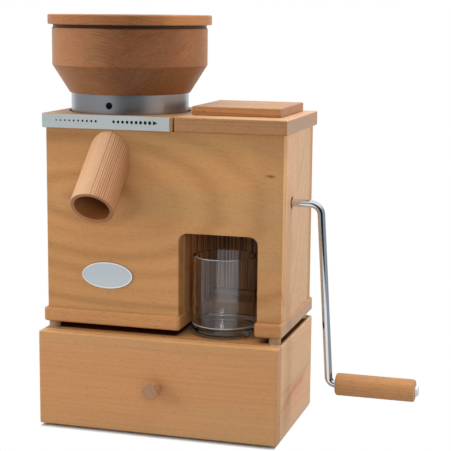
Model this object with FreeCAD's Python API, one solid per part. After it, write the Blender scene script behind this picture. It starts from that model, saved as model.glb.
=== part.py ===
import FreeCAD, Part
import math
import os

V = FreeCAD.Vector
X_AXIS = V(1, 0, 0)
Y_AXIS = V(0, 1, 0)
Z_AXIS = V(0, 0, 1)

# Grain mill and hand flaker on a drawer base. Millimetres, +Z up, -Y to the front, +X to the crank.
# The origin is the centre of the base's underside, drawer front included.

# Drawer base
base_lip_side = 2.5
base_lip_depth = 9.6
base_height = 121.6
base_panel = 15.0
base_edge = 2.0
base_shadow_gap = 2.5

# Drawer
drawer_front_thickness = 18.0
drawer_front_gap = 1.7
drawer_front_edge = 2.5
drawer_wall = 10.0
drawer_floor_thickness = 6.0
drawer_play = 0.4
drawer_headroom = 12.0
drawer_back_room = 6.0
knob_radius = 10.3
knob_neck_radius = 8.6
knob_reach = 19.0
knob_edge = 1.6
knob_neck_length = 6.5
knob_flare_length = 7.0
knob_flare_round = 4.0
knob_tenon_radius = 5.0
knob_tenon_length = 12.0

# Mill housing
body_width = 300.6
body_depth = 155.4
body_height = 224.7
body_set_back = 10.4
body_edge = 1.5
wall = 16.0
lower_board_thickness = 17.7
lower_lip_left = 4.4
lower_lip_right = 2.2
lower_lip_front = 4.7
lower_lip_back = 7.9
lower_board_corner = 5.0
lower_board_edge = 3.0
top_board_thickness = 17.6
top_lip_left = 5.2
top_lip_right = 3.9
top_lip_front = 1.6
top_lip_back = 8.0
top_board_corner = 3.0
top_board_edge = 1.2
top_split_shift = 0.84
top_board_gap = 2.0
foot_height = 7.7
foot_radius = 7.3
foot_inset = 11.0

# Niche for the catch glass
mill_bay_share = 0.5207
niche_margin = 14.25
niche_height = 102.5
niche_corner = 10.5
notch_inset = 2.7
notch_corner = 12.0
notch_rear_strip = 56.0

# Catch glass
glass_radius = 39.2
glass_height = 98.0
glass_wall = 2.6
glass_floor = 11.0
glass_foot_round = 6.0
glass_floor_round = 3.0
glass_setback = 36.3
glass_shift_x = -1.6
glass_rim_round = 1.2
rest_gap = 0.2

# Scale plate, badge and back panel screws
plate_thickness = 1.0
plate_margin_left = 1.4
plate_margin_right = 3.2
plate_lip = 0.4
badge_width = 66.0
badge_height = 33.0
badge_thickness = 1.2
badge_rise = 44.9
screw_head_radius = 4.2
screw_head_depth = 3.0
screw_shank_radius = 2.0
screw_length = 36.0
screw_levels = 4
screw_end_margin = 18.0

# Spout
spout_shift_x = 2.5
spout_drop = 37.5
spout_angle = 42.5
spout_radius = 26.9
spout_wall = 5.3
spout_length = 75.6
spout_lip = 1.2

# Hopper with its collar and lid
mill_shift_x = 0.55
mill_shift_y = 1.4
collar_margin = 6.575
collar_wall = 3.2
collar_show = 23.1
collar_gap = 3.0
collar_recess = 7.0
collar_float = 0.3
index_radius = 4.3
index_rise = 10.2
index_sunk = 0.4
index_socket_radius = 2.0
index_socket_depth = 3.0
index_length = 9.2
hopper_foot_lip = 1.9
hopper_flare = 23.5
hopper_cone_height = 34.5
hopper_height = 80.2
hopper_wall = 9.0
hopper_edge = 1.5
hopper_floor_rise = 38.0
hopper_floor_round = 6.0
hopper_throat_radius = 15.0
hopper_throat_length = 8.0
hopper_spigot = 5.0
lid_overhang = 5.2
lid_thickness = 12.1
lid_step_inset = 1.3
lid_step_height = 3.7
lid_edge = 1.5
lid_spigot_depth = 6.0
lid_play = 0.6

# Stones and their holder
stone_rim = 8.0
stone_thickness = 18.0
stone_seat = 10.0
stone_gap = 0.8
stone_eye_radius = 14.0
stone_hub_inset = 4.0
stone_hub_thickness = 8.0
stone_hub_sleeve_radius = 10.0
stone_hub_sleeve = 8.0
stone_hub_sunk = 6.0
holder_inset = 30.9
holder_flange_bottom = 4.0
holder_flange_top = 15.0
holder_drop = 20.0
thread_play = 0.3
slot_play = 0.3

# Milling chamber
chamber_wall = 5.0
chamber_floor = 4.0
chamber_room = 1.0
outlet_radius = 14.0
outlet_wall = 3.0

# Motor
motor_plate_thickness = 4.0
motor_plate_flange = 16.0
motor_depth_share = 0.4457
motor_headroom = 116.7
motor_wall = 3.0
motor_end_wall = 10.0
shield_thickness = 10.0
shaft_radius = 6.0
shaft_running_gap = 0.05
bearing_radius = 14.0
bearing_width = 9.0
stator_thickness = 20.0
stator_bore_gap = 0.5
stack_height = 52.0
bolt_inset = 9.0
bolt_radius = 2.5
bolt_head_radius = 4.5
bolt_head_height = 4.0
bolt_count = 4
fan_inset = 15.0
fan_disc = 2.0
fan_blade_height = 11.0
fan_blade_thickness = 2.0
fan_blades = 9
fan_hub_radius = 11.0
fan_gap = 6.0
shaft_tail = 3.0
capacitor_radius = 11.0
capacitor_length = 62.0
capacitor_edge = 1.5
vent_slots = 7
vent_slot_width = 5.0
vent_slot_height = 42.0
vent_slot_pitch = 12.0
vent_rise = 34.0

# Switch and gland on the back
switch_inset = 38.3
switch_drop = 44.0
switch_bezel = 2.0
switch_bezel_lip = 2.5
switch_wall = 2.0
switch_depth = 20.0
rocker_width = 14.0
rocker_length = 22.4
rocker_crown = 4.5
rocker_dip = 2.5
rocker_shoulder = -1.0
rocker_keel = -3.5
rocker_pivot_sunk = 0.5
rocker_pin_radius = 1.5
rocker_pin_length = 1.4
rocker_side_gap = 0.3
rocker_end_gap = 1.0
rocker_pin_gap = 0.05
rocker_tilt = 8.0
gland_shift = 56.0
gland_rise = 30.0
gland_bore = 3.5
gland_thread_radius = 6.0
gland_flange_radius = 9.5
gland_flange = 4.0
gland_nose_radius = 7.5
gland_nose = 9.0
gland_nose_round = 1.5
gland_inner_reach = 6.0

# Flaker
crank_inset = 29.3
crank_rise = 140.1
roller_module = 1.6
roller_teeth = 20
roller_nip = 0.4
roller_end_gap = 0.4
tooth_backlash = 0.3
pressure_angle = 20.0
tooth_dedendum = 1.25
flank_steps = 4
gear_width = 6.0
gear_wall_gap = 1.5
journal_radius = 6.0
journal_running_gap = 0.05
bush_wall = 3.0
bush_boss = 2.0
bearing_plate = 4.0
bearing_plate_room_left = 10.0
bearing_plate_room_right = 4.0
bearing_plate_flange = 4.0
bearing_plate_front = 24.0
bearing_plate_back = 50.0
bearing_plate_drop = 30.0
funnel_wall = 2.0
funnel_slot_margin = 11.4
funnel_slot_half_width = 8.0
funnel_roller_gap = 2.5
chute_wall = 1.5
chute_roller_gap = 3.0
chute_height = 18.0
chute_top_ahead = 20.0
chute_top_behind = 12.0
chute_mouth_margin = 14.2
chute_mouth_ahead = 24.0
chute_mouth_behind = 4.0

# Flaker lid
lid_margin_left = 10.55
lid_margin_right = 17.15
lid_margin_front = 38.3
lid_margin_back = 8.3
flaker_lid_thickness = 10.7
flaker_lid_edge = 1.2
feed_margin_x = 17.55
feed_margin_y = 18.2
feed_corner = 6.0
plug_play = 0.5
plug_depth = 6.0

# Crank
rod_radius = 4.7
rod_socket = 20.0
rod_hole_radius = 7.5
rod_reach = 35.7
rod_elbow_bend = 14.0
rod_grip_bend = 8.5
rod_arm_drop = 220.6
rod_arm_lean = 14.4
handle_radius = 13.6
handle_length = 96.5
handle_start = 9.1
handle_edge = 3.0
handle_running_gap = 0.06
handle_end_gap = 0.3
cap_radius = 6.4
cap_length = 3.6
cap_edge = 1.6

# Levels and faces that several pieces share
base_width = body_width + 2 * base_lip_side
carcass_depth = body_depth + base_lip_depth
base_total_depth = carcass_depth + drawer_front_gap + drawer_front_thickness
base_back = base_total_depth / 2
base_front = -base_total_depth / 2
carcass_front = base_back - carcass_depth
base_inner = base_width / 2 - base_panel
body_front = body_set_back - body_depth / 2
body_back = body_set_back + body_depth / 2
inner_front = body_front + wall
inner_back = body_back - wall
inner_side = body_width / 2 - wall
lower_board_bottom = base_height + foot_height
lower_board_top = lower_board_bottom + lower_board_thickness
body_top = lower_board_top + body_height
top_face = body_top + top_board_thickness
top_left = -body_width / 2 - top_lip_left
top_right = body_width / 2 + top_lip_right
top_front = body_front - top_lip_front
top_back = body_back + top_lip_back

# The partition divides the width between the mill and the niche, and the top boards meet over it
partition_left = -inner_side + mill_bay_share * 2 * inner_side
niche_left = partition_left + wall
niche_right = inner_side - niche_margin
top_board_split = partition_left + wall / 2 + top_split_shift
left_board_end = top_board_split - top_board_gap / 2
right_board_end = top_board_split + top_board_gap / 2

# The hopper stands in the middle of the left top board, and its collar takes the room there
mill_axis_x = (top_left + left_board_end) / 2 + mill_shift_x
mill_axis_y = (top_front + top_back) / 2 + mill_shift_y
mill_axis = V(mill_axis_x, mill_axis_y, 0)
recess_radius = (left_board_end - top_left + top_back - top_front) / 4 - collar_margin
collar_radius = recess_radius - collar_gap
hopper_foot_radius = collar_radius + hopper_foot_lip
hopper_radius = collar_radius + hopper_flare
hopper_bore = hopper_radius - hopper_wall
hopper_foot = top_face + collar_show
hopper_rim = hopper_foot + hopper_height
lid_radius = hopper_radius + lid_overhang
lid_step_radius = hopper_radius - lid_step_inset

# The motor fills most of the housing's depth, and the stones and the chamber follow the collar
motor_radius = motor_depth_share * (inner_back - inner_front)
motor_height = body_height - motor_headroom
rotor_radius = motor_radius - motor_wall - stator_thickness - stator_bore_gap
bolt_circle_radius = motor_radius - bolt_inset
fan_radius = motor_radius - fan_inset
holder_radius = recess_radius - holder_inset
stone_radius = holder_radius - stone_rim
stone_hub_radius = stone_radius - stone_hub_inset
holder_bottom = body_top - holder_drop
upper_stone_top = holder_bottom + stone_seat
grinding_face = upper_stone_top - stone_thickness
lower_stone_top = grinding_face - stone_gap
hub_top = lower_stone_top - stone_thickness
hub_bottom = hub_top - stone_hub_thickness
chamber_bore = holder_radius + thread_play
chamber_radius = chamber_bore + chamber_wall
chamber_floor_top = hub_bottom - chamber_room
chamber_bottom = chamber_floor_top - chamber_floor
motor_plate_bottom = chamber_bottom - motor_plate_thickness
motor_bottom = motor_plate_bottom - motor_height
shield_bottom = motor_bottom - shield_thickness
fan_top = shield_bottom - fan_gap

# The flaker hangs between the partition and the right side
crank_y = inner_front + crank_inset
crank_z = lower_board_top + crank_rise
gear_pitch_radius = roller_module * roller_teeth / 2
roller_radius = gear_pitch_radius - roller_nip / 2
idler_y = crank_y + 2 * gear_pitch_radius
nip_y = crank_y + gear_pitch_radius
left_plate_outer = niche_left + bearing_plate_room_left
left_plate_inner = left_plate_outer + bearing_plate
right_plate_outer = inner_side - bearing_plate_room_right
right_plate_inner = right_plate_outer - bearing_plate
flaker_lid_left = right_board_end + lid_margin_left
flaker_lid_right = top_right - lid_margin_right
flaker_lid_front = top_front + lid_margin_front
flaker_lid_back = top_back - lid_margin_back
feed_left = flaker_lid_left + feed_margin_x
feed_right = flaker_lid_right - feed_margin_x
feed_front = flaker_lid_front + feed_margin_y
feed_back = flaker_lid_back - feed_margin_y


def box(x0, x1, y0, y1, z0, z1):
    return Part.makeBox(x1 - x0, y1 - y0, z1 - z0, V(x0, y0, z0))


def lies_at(low, high, level):
    return abs(low - level) < 1e-6 and abs(high - level) < 1e-6


def soften(shape, radius, chosen):
    edges = [edge for edge in shape.Edges if chosen(edge.BoundBox)]
    return shape.makeFillet(radius, edges)


def soft_box(radius, *limits):
    solid = box(*limits)
    return solid.makeFillet(radius, solid.Edges)


def rounded_wire(corners, place):
    # corners are (u, v, radius) in order; each radius becomes an arc that meets both sides
    points = [V(u, v, 0) for u, v, _ in corners]
    ends = []
    edges = []
    for i, corner in enumerate(corners):
        here = points[i]
        before = (points[i - 1] - here).normalize()
        after = (points[(i + 1) % len(points)] - here).normalize()
        radius = corner[2]
        if radius == 0:
            ends.append((here, here))
            continue
        half = before.getAngle(after) / 2
        start = here + before * (radius / math.tan(half))
        end = here + after * (radius / math.tan(half))
        center = here + (before + after).normalize() * (radius / math.sin(half))
        middle = center + (here - center).normalize() * radius
        edges.append((i, Part.Arc(place(start), place(middle), place(end)).toShape()))
        ends.append((start, end))
    for i in range(len(corners)):
        start = ends[i][1]
        end = ends[(i + 1) % len(corners)][0]
        if start.distanceToPoint(end) > 1e-6:
            edges.append((i + 0.5, Part.makeLine(place(start), place(end))))
    edges.sort(key=lambda item: item[0])
    return Part.Wire([edge for _, edge in edges])


def extruded(corners, place, reach):
    return Part.Face(rounded_wire(corners, place)).extrude(reach)


def turned(corners, center, direction=Z_AXIS):
    # corners are (radius, height along direction, rounding); the axis runs through center
    wire = rounded_wire(corners, lambda p: V(p.x, 0, p.y))
    solid = Part.Face(wire).revolve(V(0, 0, 0), Z_AXIS, 360)
    solid.Placement = FreeCAD.Placement(center, FreeCAD.Rotation(Z_AXIS, direction))
    return solid


def cylinder(radius, center, z0, z1):
    return Part.makeCylinder(radius, z1 - z0, V(center.x, center.y, z0))


def tube(outer, inner, center, z0, z1):
    return cylinder(outer, center, z0, z1).cut(cylinder(inner, center, z0, z1))


def along_x(radius, y, z, x0, x1):
    return Part.makeCylinder(radius, x1 - x0, V(x0, y, z), X_AXIS)


def along_y(radius, x, z, y0, y1):
    return Part.makeCylinder(radius, y1 - y0, V(x, y0, z), Y_AXIS)


def on_level(z):
    return lambda p: V(p.x, p.y, z)


def rectangle(x0, x1, y0, y1, z):
    return rounded_wire([(x0, y0, 0), (x1, y0, 0), (x1, y1, 0), (x0, y1, 0)], on_level(z))


def frustum(low, high):
    return Part.makeLoft([rectangle(*low), rectangle(*high)], True, True)


parts = {}


def keep(name, *shapes):
    solids = [solid for shape in shapes for solid in shape.removeSplitter().Solids]
    parts[name] = solids[0] if len(solids) == 1 else Part.makeCompound(solids)


# Drawer base carcass: it stands on the bottom panel, with the sides a shadow gap off the ground
def base_carcass():
    half = base_width / 2
    for name, x0, x1, outer in (
        ("base_left_side", -half, -base_inner, -half),
        ("base_right_side", base_inner, half, half),
    ):
        side = box(x0, x1, carcass_front, base_back, base_shadow_gap, base_height)
        keep(name, soften(side, base_edge,
                          lambda b: lies_at(b.XMin, b.XMax, outer)))
    keep("base_top_panel", box(-base_inner, base_inner, carcass_front, base_back,
                               base_height - base_panel, base_height))
    keep("base_bottom_panel", box(-base_inner, base_inner, carcass_front, base_back, 0, base_panel))
    keep("base_back_panel", box(-base_inner, base_inner, base_back - base_panel, base_back,
                                base_panel, base_height - base_panel))


# Drawer: overlay front, two sides, back, floor and turned knob
def drawer():
    knob_z = (base_shadow_gap + base_height) / 2
    face_back = carcass_front - drawer_front_gap
    front = soft_box(drawer_front_edge, -base_width / 2, base_width / 2, base_front, face_back,
                     base_shadow_gap, base_height)
    tenon_hole = along_y(knob_tenon_radius, 0, knob_z, base_front, base_front + knob_tenon_length)
    keep("drawer_front", front.cut(tenon_hole))
    keep("drawer_knob", turned([
        (0, -knob_tenon_length, 0),
        (knob_tenon_radius, -knob_tenon_length, 0),
        (knob_tenon_radius, 0, 0),
        (knob_neck_radius, 0, 0),
        (knob_neck_radius, knob_neck_length, knob_flare_round),
        (knob_radius, knob_neck_length + knob_flare_length, knob_flare_round),
        (knob_radius, knob_reach, knob_edge),
        (0, knob_reach, 0),
    ], V(0, base_front, knob_z), V(0, -1, 0)))

    outer = base_inner - drawer_play
    inner = outer - drawer_wall
    low = base_panel + drawer_play
    high = base_height - base_panel - drawer_headroom
    back = base_back - base_panel - drawer_back_room
    keep("drawer_left_side", box(-outer, -inner, face_back, back, low, high))
    keep("drawer_right_side", box(inner, outer, face_back, back, low, high))
    keep("drawer_back", box(-inner, inner, back - drawer_wall, back, low, high))
    keep("drawer_floor", box(-inner, inner, face_back, back - drawer_wall, low, low + drawer_floor_thickness))


# Boards of the mill housing
def lower_board():
    left = -body_width / 2 - lower_lip_left
    right = body_width / 2 + lower_lip_right
    front = body_front - lower_lip_front
    back = body_back + lower_lip_back
    notch_left = niche_left + notch_inset
    notch_right = niche_right - notch_inset
    notch_back = back - notch_rear_strip
    r = lower_board_corner
    board = extruded([
        (left, front, r), (notch_left, front, r),
        (notch_left, notch_back, notch_corner), (notch_right, notch_back, notch_corner),
        (notch_right, front, r), (right, front, r), (right, back, r), (left, back, r),
    ], on_level(lower_board_bottom), V(0, 0, lower_board_thickness))
    board = soften(board, lower_board_edge, lambda b: b.ZLength < 1e-6)
    vent = cylinder(fan_radius / 2, mill_axis, lower_board_bottom, lower_board_top)
    keep("lower_board", board.cut(vent))

    feet = []
    for x in (left + foot_inset, right - foot_inset):
        for y in (front + foot_inset, back - foot_inset - lower_lip_back):
            feet.append(cylinder(foot_radius, V(x, y, 0), base_height, lower_board_bottom))
    keep("mill_feet", *feet)


def panel_screw_set():
    screws = []
    for x in (-body_width / 2 + wall / 2, body_width / 2 - wall / 2):
        for i in range(screw_levels):
            step = (body_height - 2 * screw_end_margin) / (screw_levels - 1)
            z = lower_board_top + screw_end_margin + step * i
            screws.append(turned([
                (0, 0, 0), (screw_head_radius, 0, 0), (screw_shank_radius, screw_head_depth, 0),
                (screw_shank_radius, screw_length, 0), (0, screw_length, 0),
            ], V(x, body_back, z), V(0, -1, 0)))
    return screws


def body_panels():
    half = body_width / 2
    screws = panel_screw_set()
    keep("panel_screws", *screws)

    front = box(-half, half, body_front, inner_front, lower_board_top, body_top)
    front = soften(front, body_edge, lambda b: b.XLength < 1e-6 and lies_at(b.YMin, b.YMax, body_front))
    niche = extruded([
        (niche_left, lower_board_top - wall, 0), (niche_right, lower_board_top - wall, 0),
        (niche_right, lower_board_top + niche_height, niche_corner),
        (niche_left, lower_board_top + niche_height, niche_corner),
    ], lambda p: V(p.x, body_front - wall, p.y), V(0, 3 * wall, 0))
    front = front.cut(niche)
    front = soften(front, body_edge, lambda b: lies_at(b.YMin, b.YMax, body_front)
                   and b.XMin > niche_left - 1 and b.XMax < niche_right + 1
                   and b.ZMax < body_top - 1 and b.ZMax > lower_board_top + 1)
    outlet = along_y(outlet_radius + outlet_wall, spout_x, spout_z, body_front, inner_front)
    keep("front_panel", front.cut(outlet))

    back = box(-half, half, inner_back, body_back, lower_board_top, body_top)
    back = soften(back, body_edge, lambda b: b.XLength < 1e-6 and lies_at(b.YMin, b.YMax, body_back))
    first_slot = mill_axis_x - vent_slot_pitch * (vent_slots - 1) / 2
    slots = [box(first_slot + vent_slot_pitch * i - vent_slot_width / 2,
                 first_slot + vent_slot_pitch * i + vent_slot_width / 2, inner_back, body_back,
                 lower_board_top + vent_rise, lower_board_top + vent_rise + vent_slot_height)
             for i in range(vent_slots)]
    keep("back_panel", back.cut(slots + screws + [switch_cutout(), gland_hole()]))

    left = box(-half, -inner_side, inner_front, inner_back, lower_board_top, body_top)
    keep("left_side_panel", left.cut(screws))
    right = box(inner_side, half, inner_front, inner_back, lower_board_top, body_top)
    crank_hole = along_x(rod_hole_radius, crank_y, crank_z, inner_side, half)
    keep("right_side_panel", right.cut(screws + [crank_hole]))
    keep("partition_panel", box(partition_left, niche_left, inner_front, inner_back,
                                lower_board_top, body_top))


def top_boards():
    r = top_board_corner
    limits = {
        "top_board_left": (top_left, left_board_end),
        "top_board_right": (right_board_end, top_right),
    }
    boards = {}
    for name, (x0, x1) in limits.items():
        board = extruded([(x0, top_front, r), (x1, top_front, r), (x1, top_back, r), (x0, top_back, r)],
                         on_level(body_top), V(0, 0, top_board_thickness))
        boards[name] = soften(board, top_board_edge, lambda b: b.ZLength < 1e-6)
    recess = cylinder(recess_radius, mill_axis, top_face - collar_recess, top_face)
    neck_hole = cylinder(chamber_bore, mill_axis, body_top, top_face)
    keep("top_board_left", boards["top_board_left"].cut([recess, neck_hole]))
    feed = extruded(feed_outline(0), on_level(body_top), V(0, 0, top_board_thickness))
    keep("top_board_right", boards["top_board_right"].cut(feed))

    keep("scale_plate", box(top_left + plate_margin_left, left_board_end - plate_margin_right,
                            top_front - plate_thickness, top_front,
                            body_top + plate_lip, top_face - plate_lip))


def badge():
    ellipse = Part.Ellipse(V(0, 0, 0), badge_width / 2, badge_height / 2).toShape()
    oval = Part.Face(Part.Wire(ellipse)).extrude(V(0, 0, badge_thickness))
    place = V(mill_axis_x, body_front, lower_board_top + badge_rise)
    oval.Placement = FreeCAD.Placement(place, FreeCAD.Rotation(X_AXIS, 90))
    keep("badge_plate", oval)


# Spout: a turned tube cut to the front panel, slanting down and forward
spout_x = mill_axis_x + spout_shift_x
spout_z = body_top - spout_drop
spout_run = V(0, -math.cos(math.radians(spout_angle)), -math.sin(math.radians(spout_angle)))


def spout():
    root = V(spout_x, body_front, spout_z)
    overrun = spout_radius / math.tan(math.radians(90 - spout_angle)) + wall
    bore = spout_radius - spout_wall
    pipe = turned([
        (bore, -overrun, 0), (spout_radius, -overrun, 0),
        (spout_radius, spout_length, spout_lip), (bore, spout_length, spout_lip),
    ], root, spout_run)
    reach = spout_length + overrun
    behind = box(spout_x - reach, spout_x + reach, body_front, body_front + reach,
                 spout_z - reach, spout_z + reach)
    keep("spout", pipe.cut(behind))


# Hopper, its collar ring and index stud, and the hopper lid
def hopper():
    keep("hopper", turned([
        (hopper_throat_radius, -hopper_spigot, 0),
        (collar_radius - collar_wall, -hopper_spigot, 0),
        (collar_radius - collar_wall, 0, 0),
        (hopper_foot_radius, 0, hopper_edge),
        (hopper_radius, hopper_cone_height, hopper_edge),
        (hopper_radius, hopper_height, hopper_edge),
        (hopper_bore, hopper_height, hopper_edge),
        (hopper_bore, hopper_floor_rise, hopper_floor_round),
        (hopper_throat_radius, hopper_throat_length - hopper_spigot, 0),
    ], mill_axis + V(0, 0, hopper_foot)))

    collar = tube(collar_radius, collar_radius - collar_wall, mill_axis,
                  top_face - collar_recess + collar_float, hopper_foot)
    index_z = top_face + index_rise
    index_hole = along_y(index_radius, mill_axis_x, index_z,
                         mill_axis_y - collar_radius - collar_wall, mill_axis_y - holder_radius)
    keep("collar_ring", collar.cut(index_hole))
    stud_face = mill_axis_y - collar_radius + index_sunk
    stud = along_y(index_radius, mill_axis_x, index_z, stud_face,
                   stud_face + index_length)
    keep("index_stud", stud.cut(along_y(index_socket_radius, mill_axis_x, index_z,
                                        stud_face, stud_face + index_socket_depth)))


def hopper_lid():
    seat = hopper_rim + rest_gap
    plug = hopper_bore - lid_play
    keep("hopper_lid", turned([
        (0, -lid_spigot_depth, 0),
        (plug, -lid_spigot_depth, lid_edge),
        (plug, 0, 0),
        (lid_step_radius, 0, 0),
        (lid_step_radius, lid_step_height, 0),
        (lid_radius, lid_step_height, lid_edge),
        (lid_radius, lid_step_height + lid_thickness, lid_edge),
        (0, lid_step_height + lid_thickness, 0),
    ], mill_axis + V(0, 0, seat)))


# Stones: the upper one hangs in a holder that screws up and down, the lower one turns on the motor shaft
def stones():
    flange_radius = collar_radius - collar_wall - slot_play
    low = top_face + holder_flange_bottom
    high = top_face + holder_flange_top
    holder = cylinder(flange_radius, mill_axis, low, high)
    holder = holder.fuse(cylinder(holder_radius, mill_axis, holder_bottom, low))
    holder = holder.cut(cylinder(hopper_throat_radius, mill_axis, holder_bottom, high))
    holder = holder.cut(cylinder(stone_radius, mill_axis, holder_bottom, upper_stone_top))
    slot_half = index_radius + slot_play
    slot = box(mill_axis_x - slot_half, mill_axis_x + slot_half, mill_axis_y - collar_radius,
               mill_axis_y - collar_radius + index_sunk + index_length + slot_play, low, high)
    keep("stone_holder", holder.cut(slot))
    keep("upper_millstone", tube(stone_radius, stone_eye_radius, mill_axis, grinding_face, upper_stone_top))
    keep("lower_millstone", tube(stone_radius, stone_hub_sleeve_radius, mill_axis, hub_top, lower_stone_top))
    hub = cylinder(stone_hub_radius, mill_axis, hub_bottom, hub_top)
    hub = hub.fuse(cylinder(stone_hub_sleeve_radius, mill_axis, hub_bottom - stone_hub_sleeve,
                            lower_stone_top - stone_hub_sunk))
    shaft_bore = cylinder(shaft_radius, mill_axis, hub_bottom - stone_hub_sleeve, lower_stone_top)
    keep("stone_hub", hub.cut(shaft_bore))


def milling_chamber():
    shell = cylinder(chamber_radius, mill_axis, chamber_bottom, body_top)
    outlet_start = V(spout_x, body_front, spout_z)
    nozzle_reach = mill_axis_y - body_front
    shell = shell.fuse(Part.makeCylinder(outlet_radius + outlet_wall, nozzle_reach, outlet_start, Y_AXIS))
    room = cylinder(chamber_bore, mill_axis, chamber_floor_top, body_top)
    passage = Part.makeCylinder(outlet_radius, nozzle_reach, outlet_start, Y_AXIS)
    shaft_way = cylinder(stone_hub_sleeve_radius + chamber_room, mill_axis, chamber_bottom, chamber_floor_top)
    keep("milling_chamber", shell.cut([room, passage, shaft_way]))


# Motor: a can under a flanged steel plate, with stator, rotor, two bearings, bolts, fan and capacitor
def motor():
    top = motor_plate_bottom
    sleeve_way = cylinder(stone_hub_sleeve_radius + chamber_room, mill_axis,
                          motor_plate_bottom, chamber_bottom)
    bolts = []
    for i in range(bolt_count):
        turn = math.radians(45 + 360 * i / bolt_count)
        at = mill_axis + V(math.cos(turn), math.sin(turn), 0) * bolt_circle_radius
        head = cylinder(bolt_head_radius, at, shield_bottom - bolt_head_height, shield_bottom)
        bolts.append(head.fuse(cylinder(bolt_radius, at, shield_bottom, chamber_bottom)))
    keep("motor_bolts", *bolts)

    plate = box(-inner_side, partition_left, inner_front, inner_back, motor_plate_bottom, chamber_bottom)
    for x0, x1 in ((-inner_side, -inner_side + motor_plate_thickness),
                   (partition_left - motor_plate_thickness, partition_left)):
        plate = plate.fuse(box(x0, x1, inner_front, inner_back,
                               chamber_bottom, chamber_bottom + motor_plate_flange))
    keep("motor_plate", plate.cut(bolts + [sleeve_way]))

    can = cylinder(motor_radius, mill_axis, motor_bottom, top)
    can = can.cut(cylinder(motor_radius - motor_wall, mill_axis, motor_bottom, top - motor_end_wall))
    can = can.cut(cylinder(bearing_radius, mill_axis, top - motor_end_wall, top))
    keep("motor_can", can.cut(bolts))
    shield = tube(motor_radius, bearing_radius, mill_axis, shield_bottom, motor_bottom)
    keep("motor_end_shield", shield.cut(bolts))
    bore = shaft_radius + shaft_running_gap
    keep("motor_bearings",
         tube(bearing_radius, bore, mill_axis, top - bearing_width, top),
         tube(bearing_radius, bore, mill_axis, shield_bottom, shield_bottom + bearing_width))

    stack_low = (motor_bottom + top - motor_end_wall - stack_height) / 2
    stator = tube(motor_radius - motor_wall, rotor_radius + stator_bore_gap, mill_axis,
                  stack_low, stack_low + stack_height)
    keep("stator_core", stator.cut(bolts))
    keep("rotor_core", tube(rotor_radius, shaft_radius, mill_axis, stack_low, stack_low + stack_height))
    fan_bottom = fan_top - fan_disc - fan_blade_height
    keep("motor_shaft", cylinder(shaft_radius, mill_axis, fan_bottom - shaft_tail,
                                 lower_stone_top - stone_hub_sunk))

    fan = cylinder(fan_radius, mill_axis, fan_top - fan_disc, fan_top)
    fan = fan.fuse(cylinder(fan_hub_radius, mill_axis, fan_bottom, fan_top))
    for i in range(fan_blades):
        blade = box(fan_hub_radius / 2, fan_radius, -fan_blade_thickness / 2, fan_blade_thickness / 2,
                    fan_bottom, fan_top - fan_disc)
        blade.rotate(V(0, 0, 0), Z_AXIS, 360 * i / fan_blades)
        blade.translate(mill_axis)
        fan = fan.fuse(blade)
    keep("cooling_fan", fan.cut(cylinder(shaft_radius, mill_axis, fan_bottom, fan_top)))

    can_y = inner_front + capacitor_radius + motor_wall
    keep("capacitor", turned([
        (0, 0, 0), (capacitor_radius, 0, capacitor_edge),
        (capacitor_radius, capacitor_length, capacitor_edge), (0, capacitor_length, 0),
    ], V(mill_axis_x - capacitor_length / 2, can_y, lower_board_top + capacitor_radius), X_AXIS))


# Switch with its rocker, and the gland for the mains lead, on the back panel
switch_x = -body_width / 2 + switch_inset
switch_z = body_top - switch_drop
switch_opening_half_width = rocker_width / 2 + rocker_side_gap
switch_opening_half_height = rocker_length / 2 + rocker_end_gap
gland_x = mill_axis_x + gland_shift
gland_z = lower_board_top + gland_rise


def switch_block(half_width, half_height, y0, y1):
    return box(switch_x - half_width, switch_x + half_width, y0, y1,
               switch_z - half_height, switch_z + half_height)


def switch_cutout():
    return switch_block(switch_opening_half_width + switch_wall, switch_opening_half_height + switch_wall,
                        inner_back, body_back)


def gland_hole():
    return along_y(gland_thread_radius, gland_x, gland_z, inner_back, body_back)


def switch():
    half_width = switch_opening_half_width + switch_wall
    half_height = switch_opening_half_height + switch_wall
    face = body_back + switch_bezel
    frame = switch_block(half_width, half_height, body_back - switch_depth, body_back)
    frame = frame.fuse(switch_block(half_width + switch_bezel_lip, half_height + switch_bezel_lip,
                                    body_back, face))
    frame = frame.cut(switch_block(switch_opening_half_width, switch_opening_half_height,
                                   body_back - switch_depth + switch_wall, face))
    pivot = V(switch_x, face - rocker_pivot_sunk, switch_z)
    pin_reach = switch_opening_half_width + rocker_pin_length + rocker_pin_gap
    frame = frame.cut(along_x(rocker_pin_radius + rocker_pin_gap, pivot.y, pivot.z,
                              switch_x - pin_reach, switch_x + pin_reach))
    keep("switch_frame", frame)

    half = rocker_length / 2
    rocker = extruded([
        (-half, rocker_shoulder, 0), (0, rocker_keel, 0), (half, rocker_shoulder, 0),
        (half, rocker_crown, 0), (0, rocker_dip, 0), (-half, rocker_crown, 0),
    ], lambda p: V(switch_x - rocker_width / 2, face + p.y, switch_z + p.x), V(rocker_width, 0, 0))
    pin_half = rocker_width / 2 + rocker_pin_length
    rocker = rocker.fuse(along_x(rocker_pin_radius, pivot.y, pivot.z,
                                 switch_x - pin_half, switch_x + pin_half))
    rocker.rotate(pivot, X_AXIS, rocker_tilt)
    keep("switch_rocker", rocker)


def cable_gland():
    inside = wall + gland_inner_reach
    nose_end = gland_flange + gland_nose
    keep("cable_gland", turned([
        (gland_bore, -inside, 0), (gland_thread_radius, -inside, 0), (gland_thread_radius, 0, 0),
        (gland_flange_radius, 0, 0), (gland_flange_radius, gland_flange, 0),
        (gland_nose_radius, gland_flange, 0), (gland_nose_radius, nose_end, gland_nose_round),
        (gland_bore, nose_end, 0),
    ], V(gland_x, body_back, gland_z), Y_AXIS))


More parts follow.
